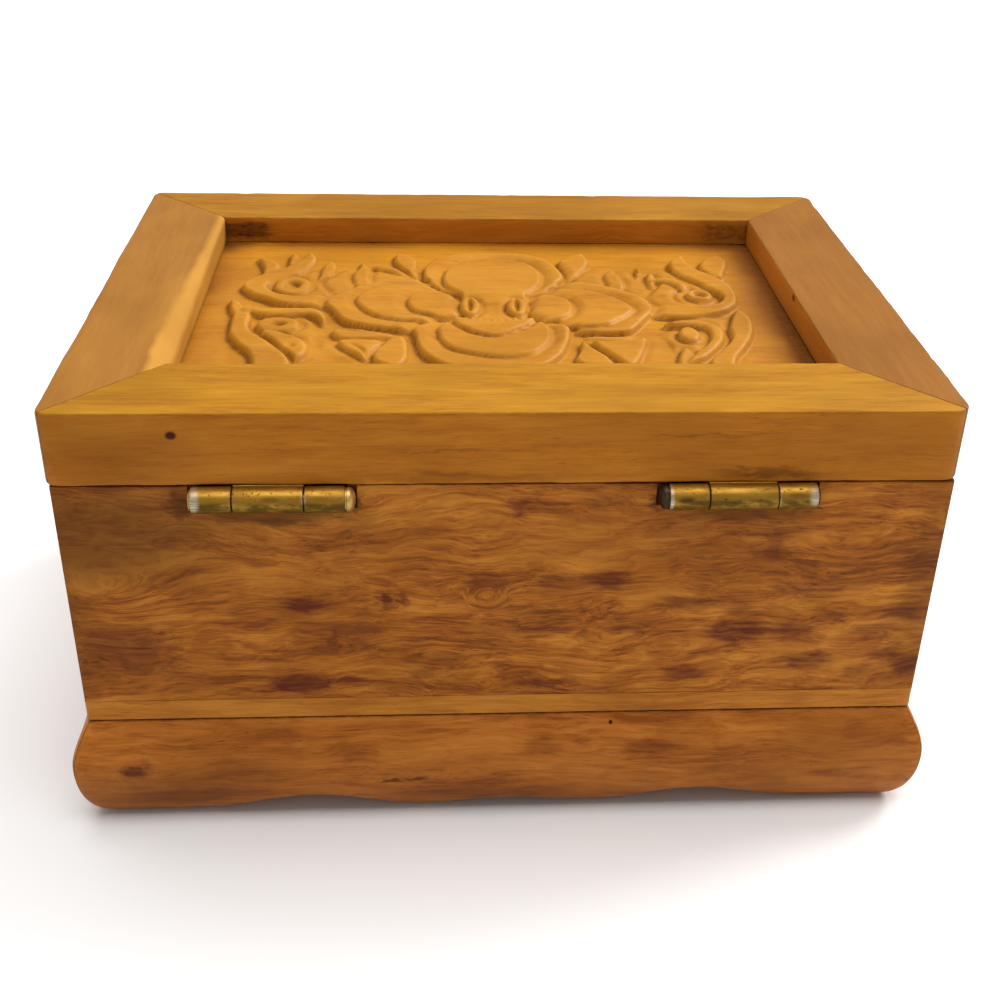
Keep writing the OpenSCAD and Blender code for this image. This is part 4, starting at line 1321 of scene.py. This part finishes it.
# Places on a side, here the back but for RAIL_PIPS: along it, height, half width, half height, strength
BRASS_BARE = [(52.6, 69.6, 1.1, 2.4, 1.0), (-26.9, 69.2, 0.5, 2.2, 0.8), (-51.4, 69.6, 1.2, 1.6, 0.9),
              (-45.3, 69.4, 0.2, 2.0, 0.7), (34.6, 70.0, 0.5, 1.0, 0.6)]
BRASS_STAINED = [(-29.4, 69.2, 2.2, 0.8, 1.0), (-36.0, 69.4, 0.5, 0.3, 0.9), (-38.4, 69.2, 0.7, 0.3, 0.9),
                 (-42.0, 69.3, 0.6, 0.3, 0.9), (-48.6, 69.8, 2.4, 0.7, 0.5), (40.0, 69.8, 2.0, 0.6, 0.5)]
WALL_MARKS = [
    (36, 47, 7.0, 2.2, 1.0), (37.5, 30, 7.0, 3.0, 1.0), (67, 39, 9.0, 5.6, 0.8), (-1.5, 66, 2.2, 2.2, 0.7),
    (-17.5, 51.5, 4.4, 2.8, 0.95), (-32.5, 46.5, 8.0, 1.7, 0.75), (-41, 40, 6.6, 3.0, 1.0),
    (-55, 33.5, 5.6, 2.8, 0.85), (-51.5, 40.5, 5.0, 2.4, 0.8), (-71, 44, 6.4, 2.0, 0.85),
    (-74, 32, 4.4, 3.4, 0.85), (22, 48, 1.8, 2.4, 0.95), (19, 48, 1.5, 2.0, 0.8), (-5, 41.5, 5.2, 1.1, 0.9),
    (-8, 29.5, 7.0, 1.3, 0.9), (15, 32, 4.4, 1.3, 0.7), (28.5, 30.5, 3.6, 1.5, 0.7),
    (-52, 49, 6.6, 1.8, 0.7), (-32, 31, 5.0, 2.0, 0.8), (-46.5, 58.5, 2.4, 3.4, 0.6),
    (-66, 40, 5.6, 2.0, 0.7), (-70, 34.5, 4.4, 2.0, 0.7), (31.5, 39.5, 1.4, 2.8, 0.6),
    (46.5, 28.5, 7.0, 0.8, 0.7), (-65.5, 31, 4.0, 1.8, 0.65), (5, 52, 4.4, 2.0, 0.65),
    (-41.5, 45, 4.4, 1.8, 0.6), (-57.5, 49, 4.0, 1.6, 0.55),
]
# Painted shadows round and under the hinges, and darker patches high up at +x and at both ends
WALL_PAINTED_SHADE_AND_PATCHES = [
    (70, 62, 27.0, 13.0, 0.62), (65.5, 64.5, 8.0, 3.0, 0.35), (40.5, 65, 15.0, 2.4, 0.7),
    (-39.5, 65, 14.5, 2.2, 0.6), (55.5, 67, 3.4, 4.2, 0.85), (26.5, 67.5, 1.8, 3.2, 0.7),
    (-25.5, 68, 1.8, 3.4, 0.8), (-53, 68, 1.4, 2.8, 0.6), (26, 64.5, 4.0, 5.0, 0.35),
    (-75, 50, 6.0, 22.0, 0.35), (76, 40, 5.0, 16.0, 0.3),
]
WALL_KNOTS = [(4, 48, 5.0, 3.6, 1.0), (70.5, 50.5, 14.0, 6.5, 0.8)]
SKIRT_MARKS = [
    (68, 13, 3.4, 2.4, 0.85), (28, 16, 4.6, 2.0, 0.6), (-27, 16, 7.0, 2.2, 0.65),
    (-6.5, 16.5, 4.4, 2.2, 0.5), (-41, 11, 8.0, 2.2, 0.4), (-62.5, 9, 5.0, 1.6, 0.4),
    (50, 13.5, 7.0, 2.6, 0.4), (60, 6, 16.0, 3.0, 0.5), (4, 5.5, 20.0, 3.2, 0.5),
]
# Two thin dark lines, and painted shade low down on the skirt and at its ends
SKIRT_PAINTED_SHADE_AND_LINES = [
    (21, 9.5, 4.4, 0.5, 0.8), (16.5, 10, 2.6, 0.45, 0.7), (66, 7, 24.0, 8.0, 0.3),
    (-62, 11, 22.0, 11.0, 0.16), (2, 3, 40.0, 5.0, 0.2),
]
SKIRT_PIPS = [(-19.5, 20.5, 0.45, 0.45, 1.0)]
LID_PIPS = [(55.5, 80.5, 1.1, 0.9, 1.0)]
RAIL_PIPS = [(5, 83.5, 1.3, 0.8, 0.9)]
# Painted shadow along the lid's lower edge and above the hinge at -x, a darker patch at +x, and two thin dark
# lines
LID_BACK_PAINTED_SHADE_AND_LINES = [
    (-43, 73, 10.0, 1.2, 0.65), (10.5, 77.5, 9.0, 0.35, 0.35), (-31, 80, 9.0, 0.35, 0.35),
    (64, 78, 18.0, 9.0, 0.24), (10, 72.5, 34.0, 0.9, 0.3),
]

# What the wood of each side looks like; the photograph shows the back
RAIL_LOOKS = {
    "back": dict(tones=LID_TONES, contrast=0.65, below=(BACK_PAINTED_SHADE_TINT, WHOLE_RAIL), painted_shade_and_patches=LID_BACK_PAINTED_SHADE_AND_LINES,
                 pips=LID_PIPS),
    "front": dict(tones=LID_FRONT_TONES, contrast=0.65, below=(FRONT_PAINTED_LIGHT_TINT, 1 - OPENING_FRONT_Y)),
    "left": dict(tones=LID_LEFT_TONES, figure=0.35, contrast=0.35, below=(LEFT_PAINTED_LIGHT_TINT, OPENING_X + 1),
                 pips=RAIL_PIPS),
    "right": dict(tones=LID_RIGHT_TONES, figure=0.35, contrast=0.35),
}
WALL_LOOK = dict(tones=WALL_TONES, figure=2.6, contrast=0.85, blotch=0.2, glow=0.1)
SKIRT_LOOK = dict(tones=SKIRT_TONES, figure=1.6, contrast=0.9, blotch=0.25, glow=0.12)
WALL_LOOKS = dict.fromkeys(TURNS, WALL_LOOK)
SKIRT_LOOKS = dict.fromkeys(TURNS, SKIRT_LOOK)
WALL_LOOKS["back"] = WALL_LOOK | dict(
    contrast=1.05, glow=0.2, marks=WALL_MARKS, painted_shade_and_patches=WALL_PAINTED_SHADE_AND_PATCHES, knots=WALL_KNOTS,
)
SKIRT_LOOKS["back"] = SKIRT_LOOK | dict(marks=SKIRT_MARKS, painted_shade_and_patches=SKIRT_PAINTED_SHADE_AND_LINES, pips=SKIRT_PIPS)
# What makes a side's pieces, their body, their slot, the seed of their grain and their looks
SIDE_PIECES = (
    (rail, "lid", "lid_wood", 1, RAIL_LOOKS),
    (wall, "box", "wall_wood", 11, WALL_LOOKS),
    (skirt, "box", "skirt_wood", 21, SKIRT_LOOKS),
)


# Stage

CAMERA_AT = (13.25, 262.65, 182.94)
CAMERA_PITCH, CAMERA_YAW, CAMERA_ROLL = 30.357, -4.425, 1.747
LENS, SENSOR = 49.94, 36.0
SHIFT_X, SHIFT_Y = -0.0257, 0.0245
CLIP_START, CLIP_END = 0.01, 20.0
SKY_STRENGTH = 0.37
SKY_TONE = (1.0, 0.99, 0.97, 1.0)
FLOOR_HALF = 6000.0
FLOOR_TONES = ((0.85, 0.86, 0.87), (0.88, 0.89, 0.90))
# Square soft lights: their place and width in metres, power and colour
LIGHTS = {
    "key": ((-1.15, -0.65, 1.0), 0.7, 21.0, (1.0, 0.98, 0.95)),
    "top": ((0.0, 0.0, 1.6), 1.6, 30.0, (1.0, 0.98, 0.96)),
}
LIT_PLACE = (0, 0, 0.05)


def add_camera():
    """The photograph's viewpoint, fitted to the box's edges."""
    pitch, yaw, roll = (math.radians(a) for a in (CAMERA_PITCH, CAMERA_YAW, CAMERA_ROLL))
    forward = Vector((math.sin(yaw) * math.cos(pitch), -math.cos(yaw) * math.cos(pitch), -math.sin(pitch)))
    level = forward.cross(Vector((0, 0, 1))).normalized()
    above = level.cross(forward)
    right = math.cos(roll) * level + math.sin(roll) * above
    up = math.cos(roll) * above - math.sin(roll) * level
    data = bpy.data.cameras.new("camera")
    data.lens, data.sensor_width = LENS, SENSOR
    data.shift_x, data.shift_y = SHIFT_X, SHIFT_Y
    data.clip_start, data.clip_end = CLIP_START, CLIP_END
    camera = add_object("camera", data)
    turn = Matrix((right, up, -forward)).transposed().to_4x4()
    camera.matrix_world = Matrix.Translation(Vector(CAMERA_AT) * MM) @ turn
    bpy.context.scene.camera = camera


def add_light(name, place, width, power, tint):
    """A square soft light that faces the box."""
    data = bpy.data.lights.new(name, "AREA")
    data.shape, data.size, data.energy, data.color = "SQUARE", width, power, tint
    light = add_object(name, data)
    light.location = place
    light.rotation_mode = "QUATERNION"
    light.rotation_quaternion = (Vector(place) - Vector(LIT_PLACE)).to_track_quat("Z", "Y")


def add_stage():
    """A pale floor, a soft sky and two lights."""
    g = Graph("pale_floor")
    material = g.finish(g.mix(g.layer(g.mm, "mottle"), *FLOOR_TONES), 0.8)
    half = FLOOR_HALF
    corners = [(-half, -half, 0), (half, -half, 0), (half, half, 0), (-half, half, 0)]
    floor = mesh_object("floor", corners, [(0, 1, 2, 3)])
    floor.data.materials.append(material)
    world = bpy.data.worlds.new("studio")
    world.use_nodes = True
    sky = world.node_tree.nodes["Background"]
    sky.inputs[0].default_value = SKY_TONE
    sky.inputs[1].default_value = SKY_STRENGTH
    bpy.context.scene.world = world
    bpy.context.scene.view_settings.view_transform = "Standard"
    for name, light in LIGHTS.items():
        add_light(name, *light)


# The box

def build():
    """Makes every piece and gives it its wood or metal."""
    for side, turns in TURNS.items():
        for make, body, slot, seed, looks in SIDE_PIECES:
            piece, node = make(side)
            dress(piece, body, wood(f"{node}_grain", turns, seed + turns, **looks[side]), node)
    board = wood("bottom_board_grain", 0, 31, BOARD_TONES)
    dress(bottom_board(), "box", board, "bottom_board")
    panel = wood("lid_carved_panel_grain", 0, 33, PANEL_TONES, contrast=0.5, rough=(0.36, 0.5), carved=True)
    dress(carved_panel(), "lid", panel, "lid_carved_panel")
    brass = metal("worn_brass", BRASS_TONES, 0.95, 1, bare=BRASS_BARE, stained=BRASS_STAINED)
    # The left hinge's pin gets a darker copy of the pin metal, which paints its shade
    pin_metals = {
        "left": metal("painted_shade_pin_metal", PAINTED_SHADE_PIN_TONES, 0.8, 2),
        "right": metal("pin_metal", PIN_TONES, 0.6, 2),
    }
    screw_metal = metal("screw_metal", SCREW_TONES, 0.4, 3)
    for side, pin_metal in pin_metals.items():
        hinge(side, brass, pin_metal, screw_metal)


add_camera()
add_stage()
build()
